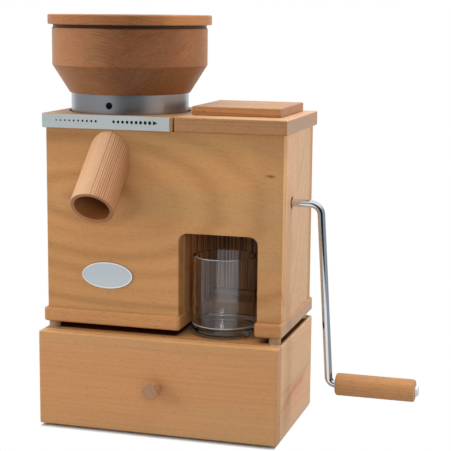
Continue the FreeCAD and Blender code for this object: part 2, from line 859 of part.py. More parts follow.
# Flaker: two rollers geared together between bearing plates, with a funnel above and a chute below
def spur_gear(y, first_tooth):
    # Involute teeth thinned for backlash and radial below the base circle; the axis runs along X
    pressure = math.radians(pressure_angle)
    tip = gear_pitch_radius + roller_module
    root = gear_pitch_radius - tooth_dedendum * roller_module
    base = max(root, gear_pitch_radius * math.cos(pressure))
    pitch_half = (math.pi * roller_module / 2 - tooth_backlash) / 2 / gear_pitch_radius

    def half_angle(radius):
        lean = math.acos(min(1, gear_pitch_radius * math.cos(pressure) / radius))
        return pitch_half + math.tan(pressure) - pressure - math.tan(lean) + lean

    flank = [root] + [base + (tip - base) * i / flank_steps for i in range(flank_steps + 1)]
    outline = [(r, -half_angle(r)) for r in flank] + [(r, half_angle(r)) for r in reversed(flank)]
    points = []
    for i in range(roller_teeth):
        middle = first_tooth + 2 * math.pi * i / roller_teeth
        for radius, turn in outline:
            points.append(V(0, radius * math.cos(middle + turn), radius * math.sin(middle + turn)))
    disc = Part.Face(Part.makePolygon(points + points[:1]))
    gear = disc.extrude(V(gear_width, 0, 0))
    gear.translate(V(niche_left + gear_wall_gap, y, crank_z))
    return gear.cut(along_x(journal_radius, y, crank_z, niche_left, left_plate_outer))


def roller(y, right_end):
    body = along_x(roller_radius, y, crank_z, left_plate_inner + bush_boss + roller_end_gap,
                   right_plate_inner - bush_boss - roller_end_gap)
    journal_start = niche_left + gear_wall_gap
    return body.fuse(along_x(journal_radius, y, crank_z, journal_start, right_end))


def flaker():
    drive_end = right_plate_outer + bearing_plate_room_right
    drive = roller(crank_y, drive_end)
    keep("drive_roller", drive.cut(along_x(rod_radius, crank_y, crank_z, drive_end - rod_socket, drive_end)))
    keep("idler_roller", roller(idler_y, right_plate_outer))
    keep("drive_gear", spur_gear(crank_y, 0))
    keep("idler_gear", spur_gear(idler_y, math.pi + math.pi / roller_teeth))

    bush_bore = journal_radius + journal_running_gap
    bush_radius = bush_bore + bush_wall
    plates = []
    bushes = []
    for outer, inner, wall_face, boss in (
        (left_plate_outer, left_plate_inner, niche_left, bush_boss),
        (right_plate_outer, right_plate_inner, inner_side, -bush_boss),
    ):
        x0, x1 = min(outer, inner), max(outer, inner)
        low = crank_z - bearing_plate_drop
        plate = box(x0, x1, crank_y - bearing_plate_front, crank_y + bearing_plate_back, low, body_top)
        plate = plate.fuse(box(min(wall_face, x0), max(wall_face, x1), crank_y - bearing_plate_front,
                               crank_y + bearing_plate_back, body_top - bearing_plate_flange, body_top))
        for y in (crank_y, idler_y):
            b0, b1 = min(outer, inner + boss), max(outer, inner + boss)
            plate = plate.cut(along_x(bush_radius, y, crank_z, x0, x1))
            ring = along_x(bush_radius, y, crank_z, b0, b1)
            bushes.append(ring.cut(along_x(bush_bore, y, crank_z, b0, b1)))
        plates.append(plate)
    keep("flaker_plates", *plates)
    keep("roller_bushes", *bushes)


def feed_outline(play):
    x0 = feed_left + play
    x1 = feed_right - play
    y0 = feed_front + play
    y1 = feed_back - play
    r = feed_corner
    return [(x0, y0, r), (x1, y0, r), (x1, y1, r), (x0, y1, r)]


def funnel_and_chute():
    slot_z = crank_z + roller_radius + funnel_roller_gap
    slot_left = left_plate_inner + funnel_slot_margin
    slot_right = right_plate_inner - funnel_slot_margin

    def funnel_shape(grow):
        return frustum(
            (slot_left - grow, slot_right + grow,
             nip_y - funnel_slot_half_width - grow, nip_y + funnel_slot_half_width + grow, slot_z),
            (feed_left - grow, feed_right + grow, feed_front - grow, feed_back + grow, body_top))

    keep("feed_funnel", funnel_shape(funnel_wall).cut(funnel_shape(0)))

    top_z = crank_z - roller_radius - chute_roller_gap
    mouth_half = glass_radius - chute_mouth_margin

    def chute_shape(grow):
        return frustum(
            (glass_x - mouth_half - grow, glass_x + mouth_half + grow,
             nip_y - chute_mouth_ahead - grow, nip_y + chute_mouth_behind + grow, top_z - chute_height),
            (left_plate_inner + chute_wall - grow, right_plate_inner - chute_wall + grow,
             nip_y - chute_top_ahead - grow, nip_y + chute_top_behind + grow, top_z))

    keep("flake_chute", chute_shape(chute_wall).cut(chute_shape(0)))


def flaker_lid():
    seat = top_face + rest_gap
    lid = soft_box(flaker_lid_edge, flaker_lid_left, flaker_lid_right, flaker_lid_front, flaker_lid_back,
                   seat, seat + flaker_lid_thickness)
    plug = extruded(feed_outline(plug_play), on_level(seat - plug_depth),
                    V(0, 0, plug_depth + flaker_lid_edge))
    keep("flaker_lid", lid.fuse(plug))


# Crank: one bent rod from the drive roller's socket to the handle
def crank():
    inner_end = inner_side - rod_socket
    elbow_x = body_width / 2 + rod_reach
    grip_x = elbow_x + rod_arm_lean
    grip_z = crank_z - rod_arm_drop
    handle_x = grip_x + handle_start
    rod_end = handle_x + handle_length + handle_end_gap
    path = rounded_path([
        (inner_end, crank_z, 0), (elbow_x, crank_z, rod_elbow_bend),
        (grip_x, grip_z, rod_grip_bend), (rod_end, grip_z, 0),
    ])
    section = Part.Wire(Part.makeCircle(rod_radius, V(inner_end, crank_y, crank_z), X_AXIS))
    keep("crank_rod", path.makePipeShell([section], True, False))
    keep("handle_cap", turned([
        (0, 0, 0), (cap_radius, 0, 0), (cap_radius, cap_length, cap_edge), (0, cap_length, 0),
    ], V(rod_end, crank_y, grip_z), X_AXIS))
    bore = rod_radius + handle_running_gap
    keep("crank_handle", turned([
        (bore, 0, 0), (handle_radius, 0, handle_edge),
        (handle_radius, handle_length, handle_edge), (bore, handle_length, 0),
    ], V(handle_x, crank_y, grip_z), X_AXIS))


def rounded_path(points):
    # A line through (x, z, radius) points in the crank's plane, with each inner corner an arc
    corners = [V(x, crank_y, z) for x, z, _ in points]
    radii = [radius for _, _, radius in points]
    edges = []
    start = corners[0]
    for before, here, after, radius in zip(corners, corners[1:], corners[2:], radii[1:]):
        back = (before - here).normalize()
        ahead = (after - here).normalize()
        half = back.getAngle(ahead) / 2
        enter = here + back * (radius / math.tan(half))
        leave = here + ahead * (radius / math.tan(half))
        center = here + (back + ahead).normalize() * (radius / math.sin(half))
        middle = center + (here - center).normalize() * radius
        edges.append(Part.makeLine(start, enter))
        edges.append(Part.Arc(enter, middle, leave).toShape())
        start = leave
    edges.append(Part.makeLine(start, corners[-1]))
    return Part.Wire(edges)


# Catch glass, standing on the base in the niche
glass_x = (niche_left + niche_right) / 2 + glass_shift_x
glass_y = body_front + glass_setback


def catch_glass():
    inner = glass_radius - glass_wall
    keep("catch_glass", turned([
        (0, 0, 0), (glass_radius, 0, glass_foot_round), (glass_radius, glass_height, glass_rim_round),
        (inner, glass_height, glass_rim_round), (inner, glass_floor, glass_floor_round), (0, glass_floor, 0),
    ], V(glass_x, glass_y, base_height + rest_gap)))


base_carcass()
drawer()
lower_board()
body_panels()
top_boards()
badge()
spout()
hopper()
hopper_lid()
stones()
milling_chamber()
motor()
switch()
cable_gland()
flaker()
funnel_and_chute()
flaker_lid()
crank()
catch_glass()

os.makedirs("parts", exist_ok=True)
for name, shape in parts.items():
    if not shape.isValid():
        print("not valid:", name)
    shape.exportStep(f"parts/{name}.step")
print(len(parts), "nodes,", sum(len(shape.Solids) for shape in parts.values()), "solids")
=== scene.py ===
import math
import bpy
from mathutils import Matrix, Vector


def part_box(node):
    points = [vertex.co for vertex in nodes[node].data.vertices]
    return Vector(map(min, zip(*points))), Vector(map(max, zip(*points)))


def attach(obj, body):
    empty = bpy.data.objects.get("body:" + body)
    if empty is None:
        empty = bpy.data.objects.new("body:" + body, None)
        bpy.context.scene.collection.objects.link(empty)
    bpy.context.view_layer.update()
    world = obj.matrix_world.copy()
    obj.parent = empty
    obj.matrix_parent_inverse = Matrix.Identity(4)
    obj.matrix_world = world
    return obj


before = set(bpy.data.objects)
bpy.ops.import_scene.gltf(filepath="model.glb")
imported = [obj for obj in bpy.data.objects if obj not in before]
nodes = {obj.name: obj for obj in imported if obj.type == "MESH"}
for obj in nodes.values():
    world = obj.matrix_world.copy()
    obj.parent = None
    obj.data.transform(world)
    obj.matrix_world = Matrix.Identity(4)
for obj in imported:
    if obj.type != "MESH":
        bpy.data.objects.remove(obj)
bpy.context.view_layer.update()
scene = bpy.context.scene
scene.view_settings.view_transform = "Standard"
print("frame loaded:", len(nodes), "nodes")

# camera at the photograph's place
cameraView = {
    "place": (0.5056, -1.5275, 0.5169),
    "turn": 16.24,  # degrees left of straight back
    "dip": 9.50,  # degrees below level
    "roll": 0.51,
    "lens": 103.4,
    "sensor": 36,
}


def addObject(name, data):
    thing = bpy.data.objects.new(name, data)
    scene.collection.objects.link(thing)
    return thing


def placeCamera(view):
    turn, dip, roll = (math.radians(view[name]) for name in ("turn", "dip", "roll"))
    ahead = Vector((-math.sin(turn) * math.cos(dip), math.cos(turn) * math.cos(dip), -math.sin(dip)))
    right = Vector((math.cos(turn), math.sin(turn), 0))
    up = right.cross(ahead)
    rolledRight = right * math.cos(roll) + up * math.sin(roll)
    rolledUp = up * math.cos(roll) - right * math.sin(roll)
    turned = Matrix((rolledRight, rolledUp, -ahead)).transposed().to_4x4()
    data = bpy.data.cameras.new("photoCamera")
    data.lens = view["lens"]
    data.sensor_width = view["sensor"]
    data.dof.use_dof = False
    camera = addObject("photoCamera", data)
    camera.matrix_world = Matrix.Translation(view["place"]) @ turned
    scene.camera = camera


placeCamera(cameraView)
print("camera placed")


# short names for building node trees
def put(tree, kind, **settings):
    node = tree.nodes.new(kind)
    for name, value in settings.items():
        setattr(node, name, value)
    return node


def plug(tree, source, socket):
    if isinstance(source, bpy.types.NodeSocket):
        tree.links.new(source, socket)
    elif socket.type == "RGBA" and len(source) == 3:
        socket.default_value = (*source, 1)
    else:
        socket.default_value = source


def plugAll(tree, sources, sockets):
    for source, socket in zip(sources, sockets):
        plug(tree, source, socket)


def wire(tree, node, **sources):
    # an underscore stands for the space in a socket's name
    for name, source in sources.items():
        plug(tree, source, node.inputs[name.replace("_", " ")])
    return node.outputs


def sums(tree, operation, *values):
    node = put(tree, "ShaderNodeMath", operation=operation)
    plugAll(tree, values, node.inputs)
    return node.outputs[0]


def vectorSums(tree, operation, *values):
    node = put(tree, "ShaderNodeVectorMath", operation=operation)
    plugAll(tree, values, node.inputs)
    return node.outputs["Value" if operation in ("DOT_PRODUCT", "LENGTH") else "Vector"]


def joined(tree, x, y, z):
    node = put(tree, "ShaderNodeCombineXYZ")
    plugAll(tree, (x, y, z), node.inputs)
    return node.outputs[0]


def threefold(tree, value):
    return joined(tree, value, value, value)


def parted(tree, vector):
    node = put(tree, "ShaderNodeSeparateXYZ")
    plug(tree, vector, node.inputs[0])
    return node.outputs


def between(tree, value, low, high, toLow=0.0, toHigh=1.0):
    node = put(tree, "ShaderNodeMapRange", interpolation_type="SMOOTHSTEP")
    plugAll(tree, (value, low, high, toLow, toHigh), node.inputs)
    return node.outputs[0]


def partWay(tree, share, start, end):
    return sums(tree, "MULTIPLY_ADD", share, sums(tree, "SUBTRACT", end, start), start)


def drawnNoise(tree, vector, stretch, detail=2.0, roughness=0.5, output="Fac"):
    # noise drawn out along one way by an uneven stretch
    if not isinstance(stretch, tuple):
        stretch = (stretch, stretch, stretch)
    stretched = vectorSums(tree, "MULTIPLY", vector, stretch)
    node = put(tree, "ShaderNodeTexNoise")
    return wire(tree, node, Vector=stretched, Scale=1.0, Detail=detail, Roughness=roughness)[output]


def mixed(tree, factor, first, second, blend="MIX"):
    node = put(tree, "ShaderNodeMix", data_type="RGBA", blend_type=blend)
    plugAll(tree, (factor, first, second), (node.inputs[0], node.inputs[6], node.inputs[7]))
    return node.outputs[2]


def mixedShaders(tree, factor, first, second):
    node = put(tree, "ShaderNodeMixShader")
    plugAll(tree, (factor, first, second), node.inputs)
    return node.outputs[0]


def smoothRamp(tree, share, tonesWithPaintedShade):
    # a smooth run through evenly spaced grey tones
    node = put(tree, "ShaderNodeValToRGB")
    ramp = node.color_ramp
    ramp.interpolation = "EASE"
    while len(ramp.elements) < len(tonesWithPaintedShade):
        ramp.elements.new(1.0)
    for i, tone in enumerate(tonesWithPaintedShade):
        ramp.elements[i].position = i / (len(tonesWithPaintedShade) - 1)
        ramp.elements[i].color = (tone, tone, tone, 1)
    plug(tree, share, node.inputs[0])
    return node.outputs["Color"]


socketKinds = {int: "NodeSocketInt", float: "NodeSocketFloat", 3: "NodeSocketVector", 4: "NodeSocketColor"}


def addInputs(tree, values):
    # one input socket of a node group for each named value
    settings = {}
    for name, value in values.items():
        kind = socketKinds[len(value) if isinstance(value, tuple) else type(value)]
        socket = tree.interface.new_socket(name=name, in_out="INPUT", socket_type=kind)
        socket.default_value = value
        settings[socket.identifier] = value
    return settings


def startMaterial(name, **fixed):
    material = bpy.data.materials.new(name)
    material.use_nodes = True
    tree = material.node_tree
    shader = tree.nodes["Principled BSDF"]
    wire(tree, shader, **fixed)
    place = put(tree, "ShaderNodeTexCoord").outputs["Object"]
    return material, tree, shader, place


def addBump(tree, shader, height, strength, distance):
    bump = put(tree, "ShaderNodeBump")
    wire(tree, bump, Strength=strength, Distance=distance, Height=height)
    wire(tree, shader, Normal=bump.outputs[0])


def dress(name, material):
    piece = nodes[name]
    if not piece.material_slots:
        piece.data.materials.append(material)
    for slot in piece.material_slots:
        slot.material = material


# studio: white floor and backdrop, a soft dome, and light boxes round the object
studio = {
    "floorReach": 1.7,
    "floorColor": (0.62, 0.61, 0.60),
    "footprint": (0.1500, 0.0924),  # half width and half depth of the base's shadow
    "shadowReach": 0.007,  # the floor fades to plain white this far from the shadow
    "shadowTaper": (5, 1, 0),  # the fade is this much quicker at the sides
    "tableReach": (1.00, 1.50),  # where the white table ends in reflections
    "dome": 0.48,
    "cameraSide": (0.3495, -0.9369, 0.0),  # towards the photographer
    # white seen in reflections, and where each part of the room begins and ends
    "mirrored": {"ceiling": 1.0, "behind": 1.0, "beside": 0.35, "ahead": 0.01},
    "backdropEdge": (-0.88, -0.62),
    "roomEdge": (0.82, 0.93),
    "ceilingEdge": (0.30, 0.75),
    "lamps": {
        "overheadBox": {"place": (0.0, 0.0, 1.75), "aim": (0, 0, 0.3), "size": 1.2, "power": 20.0},
        "leftBox": {"place": (-1.5, -1.0, 0.75), "aim": (0, 0, 0.3), "size": 1.2, "power": 15.0},
        "rightBox": {"place": (1.7, 0.45, 0.75), "aim": (0, 0, 0.3), "size": 0.9, "power": 15.0},
        "frontBox": {"place": (0.95, -1.8, 0.85), "aim": (0, 0, 0.22), "size": 0.5, "power": 5.5},
    },
}


def mirroredWhite(tree, heading, setup, room):
    # reflections show a white backdrop, grey sides and the dark room behind the photographer
    mirrored = setup["mirrored"]
    level = vectorSums(tree, "NORMALIZE", vectorSums(tree, "MULTIPLY", heading, (1, 1, 0)))
    facing = vectorSums(tree, "DOT_PRODUCT", level, setup["cameraSide"])
    white = between(tree, facing, *setup["backdropEdge"], mirrored["behind"], mirrored["beside"])
    return partWay(tree, between(tree, facing, *setup["roomEdge"]), white, room)


def lookedAt(tree):
    # what the camera sees straight or through glass, and what it sees in a reflection
    path = put(tree, "ShaderNodeLightPath").outputs
    return sums(tree, "MAXIMUM", path["Is Camera Ray"], path["Is Transmission Ray"]), path["Is Glossy Ray"]


def buildFloor(setup):
    reach = setup["floorReach"]
    mesh = bpy.data.meshes.new("studioFloor")
    corners = [(-reach, -reach, 0), (reach, -reach, 0), (reach, reach, 0), (-reach, reach, 0)]
    mesh.from_pydata(corners, [], [(0, 1, 2, 3)])
    floor = addObject("studioFloor", mesh)
    material, tree, shader, place = startMaterial("paleFloor", Base_Color=setup["floorColor"], Roughness=0.9)
    beyond = vectorSums(tree, "SUBTRACT", vectorSums(tree, "ABSOLUTE", place), (*setup["footprint"], 0))
    beyond = vectorSums(tree, "MAXIMUM", beyond, (0, 0, 0))
    beyond = vectorSums(tree, "MULTIPLY", beyond, setup["shadowTaper"])
    white = between(tree, vectorSums(tree, "LENGTH", beyond), 0.0, setup["shadowReach"])
    fromMiddle = vectorSums(tree, "LENGTH", place)
    room = between(tree, fromMiddle, *setup["tableReach"], 1.0, setup["mirrored"]["ahead"])
    straight, glossy = lookedAt(tree)
    seen = sums(tree, "MAXIMUM", straight, glossy)
    glow = put(tree, "ShaderNodeEmission")
    strength = sums(tree, "MAXIMUM", straight, mirroredWhite(tree, place, setup, room))
    wire(tree, glow, Strength=strength)
    surface = mixedShaders(tree, sums(tree, "MULTIPLY", seen, white), shader.outputs[0], glow.outputs[0])
    wire(tree, tree.nodes["Material Output"], Surface=surface)
    mesh.materials.append(material)


def buildDome(setup):
    world = bpy.data.worlds.new("whiteDome")
    scene.world = world
    world.use_nodes = True
    tree = world.node_tree
    heading = put(tree, "ShaderNodeTexCoord").outputs["Generated"]
    white = mirroredWhite(tree, heading, setup, setup["mirrored"]["ahead"])
    above = between(tree, parted(tree, heading)[2], *setup["ceilingEdge"])
    white = partWay(tree, above, white, setup["mirrored"]["ceiling"])
    dome = tree.nodes["Background"]
    reflected = put(tree, "ShaderNodeBackground")
    backdrop = put(tree, "ShaderNodeBackground")
    for plain, strength in ((dome, setup["dome"]), (reflected, white), (backdrop, 1.0)):
        wire(tree, plain, Color=(1, 1, 1), Strength=strength)
    straight, glossy = lookedAt(tree)
    surface = mixedShaders(tree, glossy, dome.outputs[0], reflected.outputs[0])
    surface = mixedShaders(tree, straight, surface, backdrop.outputs[0])
    wire(tree, tree.nodes["World Output"], Surface=surface)


def hangLamps(setup):
    for name, lamp in setup["lamps"].items():
        data = bpy.data.lights.new(name, "AREA")
        data.size = lamp["size"]
        data.energy = lamp["power"]
        box = addObject(name, data)
        aim = Vector(lamp["aim"]) - Vector(lamp["place"])
        turn = aim.to_track_quat("-Z", "Y").to_matrix().to_4x4()
        box.matrix_world = Matrix.Translation(lamp["place"]) @ turn
        box.visible_glossy = False


buildFloor(studio)
buildDome(studio)
hangLamps(studio)
print("studio built")


# oiled beech: growth rings round a pith line, fibres, ray flecks and pores, in metres along the grain
beechInputs = {
    "Grain": (0, 0, 0),  # x along the grain, y across the face, z through the board
    "Facing": (0, 0, 1),  # the surface's normal in the same frame
    "Pith": (0, 0.02, -0.12),
    "Lean": (0, 0, 0),  # how the pith drifts for each metre along the grain
    "Mark": (0, 0, 5),
    "Light": (0.55, 0.30, 0.14, 1),
    "Dark": (0.33, 0.15, 0.06, 1),
    "Ring Width": 0.004,
    "Ring Edge": 0.86,  # where in each ring the dark late wood stops growing
    "End Tone": (0.40, 0.29, 0.215, 1),
    "End Shade": 0.35,  # how far the end grain turns to its own tone
    "Wander": 0.02,
    "Figure": 0.5,
    "Streak": 0.5,
    "Flecks": 0.5,
    "Tone Spread": 0.3,
    "Shade": 0.2,
    "Strip Width": 10.0,
    "Strip Start": -5.0,
    "Strip Spread": 0.0,
    "Seed": 0.0,
    "Mark Size": 0.001,
}
beechGrowth = {
    "stripShift": (2.0, 0.08, 0.05),  # how far apart two glued strips grew
    "seedShift": (0.37, 0.73, 0.19),
    # noises drawn out along the grain
    "wander": (1.7, 5.0, 5.0),
    "ripple": (5, 60, 60),
    "rippleDepth": 0.5,  # in rings
    "earlyWood": 0.1,  # the part of a ring before it darkens
    "ringDepths": (0.3, 1.0),
    "fibre": (10, 380, 380),
    "tone": (1.1, 8, 8),
    "fleck": (150, 1050, 1050),
    "fleckRange": (0.58, 0.72),
    "pore": (330, 4200, 4200),
    "poreRange": (0.58, 0.80),
    "warmth": (1.6, 16, 16),
    "warmthRange": (0.36, 0.64),
    "depthRange": (-0.1, 1.1),
    # tones laid over the wood
    "cool": (0.965, 1.015, 1.03),
    "warm": (1.045, 0.985, 0.95),
    "fleckTone": (0.60, 0.46, 0.36),
    "poreTone": (0.62, 0.50, 0.42),
    "poreShare": 0.45,
    "markTone": (0.34, 0.26, 0.22),
    "markShape": (0.3, 1, 0.6),
    "endFacing": (0.70, 0.95),
    "rough": 0.44,
    "roughShares": (0.16, 0.10, 0.10),  # of fibres, flecks and end grain
    "heightShares": (-0.6, -0.8, 0.3),  # of flecks, pores and rings
    "bump": (0.22, 0.0003),
    "index": 1.5,
}
halfGrey = (0.5, 0.5, 0.5)


def buildBeechGroup(inputs, growth):
    tree = bpy.data.node_groups.new("oiledBeech", "ShaderNodeTree")
    addInputs(tree, inputs)
    for name, kind in (("Color", "Color"), ("Roughness", "Float"), ("Height", "Float")):
        tree.interface.new_socket(name=name, in_out="OUTPUT", socket_type="NodeSocket" + kind)
    given = put(tree, "NodeGroupInput").outputs
    result = put(tree, "NodeGroupOutput").inputs

    # each glued strip is its own piece of timber
    fromStart = sums(tree, "SUBTRACT", parted(tree, given["Grain"])[1], given["Strip Start"])
    strip = sums(tree, "FLOOR", sums(tree, "DIVIDE", fromStart, given["Strip Width"]))
    ownTimber = put(tree, "ShaderNodeTexWhiteNoise", noise_dimensions="2D")
    wire(tree, ownTimber, Vector=joined(tree, strip, given["Seed"], 0.0))
    ownShift = vectorSums(tree, "SUBTRACT", ownTimber.outputs["Color"], halfGrey)
    stripShift = vectorSums(tree, "MULTIPLY", ownShift, growth["stripShift"])
    stripShift = vectorSums(tree, "MULTIPLY", stripShift, threefold(tree, given["Strip Spread"]))
    place = vectorSums(tree, "ADD", given["Grain"], stripShift)
    seedShift = vectorSums(tree, "MULTIPLY", threefold(tree, given["Seed"]), growth["seedShift"])
    grown = vectorSums(tree, "ADD", place, seedShift)

    # distance from the wandering pith gives the rings
    wander = drawnNoise(tree, grown, growth["wander"], 1.5, output="Color")
    wander = vectorSums(tree, "SUBTRACT", wander, halfGrey)
    wanderBy = joined(tree, 0.0, given["Wander"], given["Wander"])
    wandered = vectorSums(tree, "ADD", place, vectorSums(tree, "MULTIPLY", wander, wanderBy))
    drift = vectorSums(tree, "MULTIPLY", given["Lean"], threefold(tree, parted(tree, place)[0]))
    fromPith = vectorSums(tree, "SUBTRACT", vectorSums(tree, "SUBTRACT", wandered, given["Pith"]), drift)
    radius = vectorSums(tree, "LENGTH", vectorSums(tree, "MULTIPLY", fromPith, (0, 1, 1)))
    ripple = sums(tree, "MULTIPLY", drawnNoise(tree, grown, growth["ripple"]), growth["rippleDepth"])
    rings = sums(tree, "ADD", sums(tree, "DIVIDE", radius, given["Ring Width"]), ripple)
    ringPart = sums(tree, "FRACT", rings)
    ringOwn = put(tree, "ShaderNodeTexWhiteNoise", noise_dimensions="1D")
    wire(tree, ringOwn, W=sums(tree, "ADD", sums(tree, "FLOOR", rings), given["Seed"]))
    lateWood = sums(tree, "MULTIPLY", between(tree, ringPart, growth["earlyWood"], given["Ring Edge"]),
                    between(tree, ringPart, given["Ring Edge"], 1.0, 1.0, 0.0))
    ringDepth = between(tree, ringOwn.outputs["Value"], 0.0, 1.0, *growth["ringDepths"])
    ring = sums(tree, "MULTIPLY", lateWood, ringDepth)

    fibre = sums(tree, "SUBTRACT", drawnNoise(tree, grown, growth["fibre"], 5, 0.62), 0.5)
    tone = sums(tree, "SUBTRACT", drawnNoise(tree, grown, growth["tone"]), 0.5)
    fleck = between(tree, drawnNoise(tree, grown, growth["fleck"], 0.6), *growth["fleckRange"])
    pore = between(tree, drawnNoise(tree, grown, growth["pore"], 0.0), *growth["poreRange"])
    warmth = between(tree, drawnNoise(tree, grown, growth["warmth"], 2.5), *growth["warmthRange"])

    depth = given["Shade"]
    for part, share in ((ring, "Figure"), (fibre, "Streak"), (tone, "Tone Spread"),
                        (parted(tree, ownShift)[0], "Strip Spread")):
        depth = sums(tree, "MULTIPLY_ADD", part, given[share], depth)
    color = mixed(tree, between(tree, depth, *growth["depthRange"]), given["Light"], given["Dark"])
    fromMark = vectorSums(tree, "SUBTRACT", given["Grain"], given["Mark"])
    fromMark = vectorSums(tree, "LENGTH", vectorSums(tree, "MULTIPLY", fromMark, growth["markShape"]))
    for share, overlay in (
        (1.0, mixed(tree, warmth, growth["cool"], growth["warm"])),
        (sums(tree, "MULTIPLY", fleck, given["Flecks"]), growth["fleckTone"]),
        (sums(tree, "MULTIPLY", pore, growth["poreShare"]), growth["poreTone"]),
        (between(tree, fromMark, 0.0, given["Mark Size"], 1.0, 0.0), growth["markTone"]),
    ):
        color = mixed(tree, share, color, overlay, "MULTIPLY")
    alongFacing = sums(tree, "ABSOLUTE", parted(tree, given["Facing"])[0])
    endGrain = between(tree, alongFacing, *growth["endFacing"])
    color = mixed(tree, sums(tree, "MULTIPLY", endGrain, given["End Shade"]), color, given["End Tone"])
    plug(tree, color, result["Color"])

    rough = growth["rough"]
    for part, share in zip((fibre, fleck, endGrain), growth["roughShares"]):
        rough = sums(tree, "MULTIPLY_ADD", part, share, rough)
    plug(tree, rough, result["Roughness"])
    height = fibre
    for part, share in zip((fleck, pore, ring), growth["heightShares"]):
        height = sums(tree, "MULTIPLY_ADD", part, share, height)
    plug(tree, height, result["Height"])
    return tree


beechGroup = buildBeechGroup(beechInputs, beechGrowth)

# tones of the single boards, light and dark wood
beechTones = {
    "honey": ((0.545, 0.285, 0.105), (0.365, 0.165, 0.050)),
    "tan": ((0.590, 0.290, 0.110), (0.410, 0.172, 0.055)),
    "biscuit": ((0.590, 0.303, 0.123), (0.410, 0.182, 0.064)),
    "rose": ((0.540, 0.300, 0.140), (0.400, 0.195, 0.080)),
    # paler, greyer tones for side boards: partly their wood and partly painted sheen on faces seen at a low
    # angle
    "blush": ((0.610, 0.375, 0.205), (0.460, 0.250, 0.120)),
    "cream": ((0.631, 0.405, 0.226), (0.476, 0.270, 0.132)),
    "amber": ((0.510, 0.235, 0.085), (0.330, 0.135, 0.042)),
    "russet": ((0.500, 0.235, 0.090), (0.300, 0.118, 0.038)),
    # painted light: a very pale tone that brightens the niche's shaded wall
    "paintedLightPale": ((0.880, 0.460, 0.195), (0.520, 0.225, 0.078)),
    # a pale tone that makes the right top board's top read bright: partly its wood, partly painted sheen
    "sand": ((0.700, 0.395, 0.205), (0.490, 0.245, 0.105)),
    # the spout's tone; its pale light wood is partly painted sheen on its lit left side
    "pale": ((0.640, 0.378, 0.215), (0.340, 0.140, 0.050)),
    "dusky": ((0.510, 0.262, 0.122), (0.212, 0.112, 0.066)),
    "chestnut": ((0.455, 0.211, 0.092), (0.125, 0.037, 0.010)),
    "copper": ((0.455, 0.186, 0.058), (0.190, 0.064, 0.016)),
}


def grainFrame(axes):
    # "xzy" means grain along x, z across the face, y through the board
    units = {"x": Vector((1, 0, 0)), "y": Vector((0, 1, 0)), "z": Vector((0, 0, 1))}
    along, across = units[axes[0]], units[axes[1]]
    return Matrix((along, across, along.cross(across)))


def finishBeech(tree, shader, grain, facing, wood):
    group = put(tree, "ShaderNodeGroup", node_tree=beechGroup)
    light, dark = beechTones[wood["tone"]]
    given = {"Grain": grain, "Facing": facing, "Light": light, "Dark": dark, **wood}
    for name, value in given.items():
        socket = group.inputs.get(name)
        if socket:
            plug(tree, value, socket)
    wire(tree, shader, Base_Color=group.outputs["Color"], Roughness=group.outputs["Roughness"])
    addBump(tree, shader, group.outputs["Height"], *beechGrowth["bump"])
    return group


def makeBoard(name, wood):
    low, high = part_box(name)
    rows = wood["rows"] if "rows" in wood else grainFrame(wood["axes"])
    rows = Matrix.Rotation(math.radians(wood.get("slant", 0.0)), 3, "Z") @ rows
    center = Vector(wood.get("center", (low + high) / 2))
    material, tree, shader, place = startMaterial("beech_" + name, IOR=beechGrowth["index"])
    turn = rows.to_euler("XYZ")
    grain = put(tree, "ShaderNodeMapping", vector_type="POINT")
    grain = wire(tree, grain, Vector=place, Rotation=turn, Location=-(rows @ center))[0]
    facing = put(tree, "ShaderNodeMapping", vector_type="POINT")
    facing = wire(tree, facing, Vector=place.node.outputs["Normal"], Rotation=turn)[0]
    group = finishBeech(tree, shader, grain, facing, wood)
    dress(name, material)
    return tree, shader, place, grain, group


# housing boards; Pith and Mark are measured from the middle of the board
housingBoards = {
    "front_panel": {
        "axes": "xzy", "slant": 4.0, "tone": "honey", "Pith": (0, 0.026, -0.029), "Lean": (0, 0, -0.4),
        "Ring Width": 0.021, "Ring Edge": 0.55, "Wander": 0.035, "Figure": 0.46, "Flecks": 0.3,
        "Tone Spread": 0.5, "Shade": 0.16, "End Shade": 0.0, "Seed": 3.1, "Mark": (0.1300, 0.0735, 0.008),
        "Mark Size": 0.0028,
    },
    "back_panel": {
        "axes": "zxy", "tone": "honey", "Pith": (0, 0.05, -0.10), "Strip Width": 0.075,
        "Strip Start": -0.15, "Strip Spread": 0.35, "Streak": 0.7, "Seed": 8.3,
    },
    "left_side_panel": {
        "axes": "zyx", "tone": "blush", "Pith": (0, 0.01, -0.09), "Lean": (0, 0, 0.1), "Figure": 0.4,
        "Seed": 5.2,
    },
    "right_side_panel": {
        "axes": "zyx", "tone": "blush", "Pith": (0, -0.015, -0.05), "Lean": (0, 0.30, 0.15),
        "Ring Width": 0.011, "Ring Edge": 0.6, "Wander": 0.03, "Figure": 0.42, "Streak": 0.45,
        "Shade": 0.08, "Seed": 6.7,
    },
    "partition_panel": {
        "axes": "zyx", "tone": "paintedLightPale", "Pith": (0, 0.3, -0.05), "Streak": 0.8, "Figure": 0.6,
        "Shade": 0.0, "Seed": 2.4,
    },
    "top_board_left": {"axes": "xyz", "tone": "amber", "Pith": (0, 0.03, -0.11), "Figure": 0.4, "Seed": 1.7},
    "top_board_right": {
        "axes": "xyz", "tone": "sand", "Pith": (0, -0.02, -0.13), "Figure": 0.4, "Shade": 0.08,
        "End Tone": (0.335, 0.220, 0.155), "End Shade": 0.8, "Seed": 9.4,
    },
    "lower_board": {
        "axes": "xyz", "tone": "tan", "Pith": (0, 0.04, -0.10), "Figure": 0.4, "Shade": 0.22,
        "End Tone": (0.40, 0.31, 0.235), "Seed": 4.6,
    },
    "flaker_lid": {
        "axes": "xyz", "tone": "russet", "Pith": (0, 0.03, -0.08), "Shade": 0.24,
        "End Tone": (0.29, 0.183, 0.178), "Seed": 7.9,
    },
}
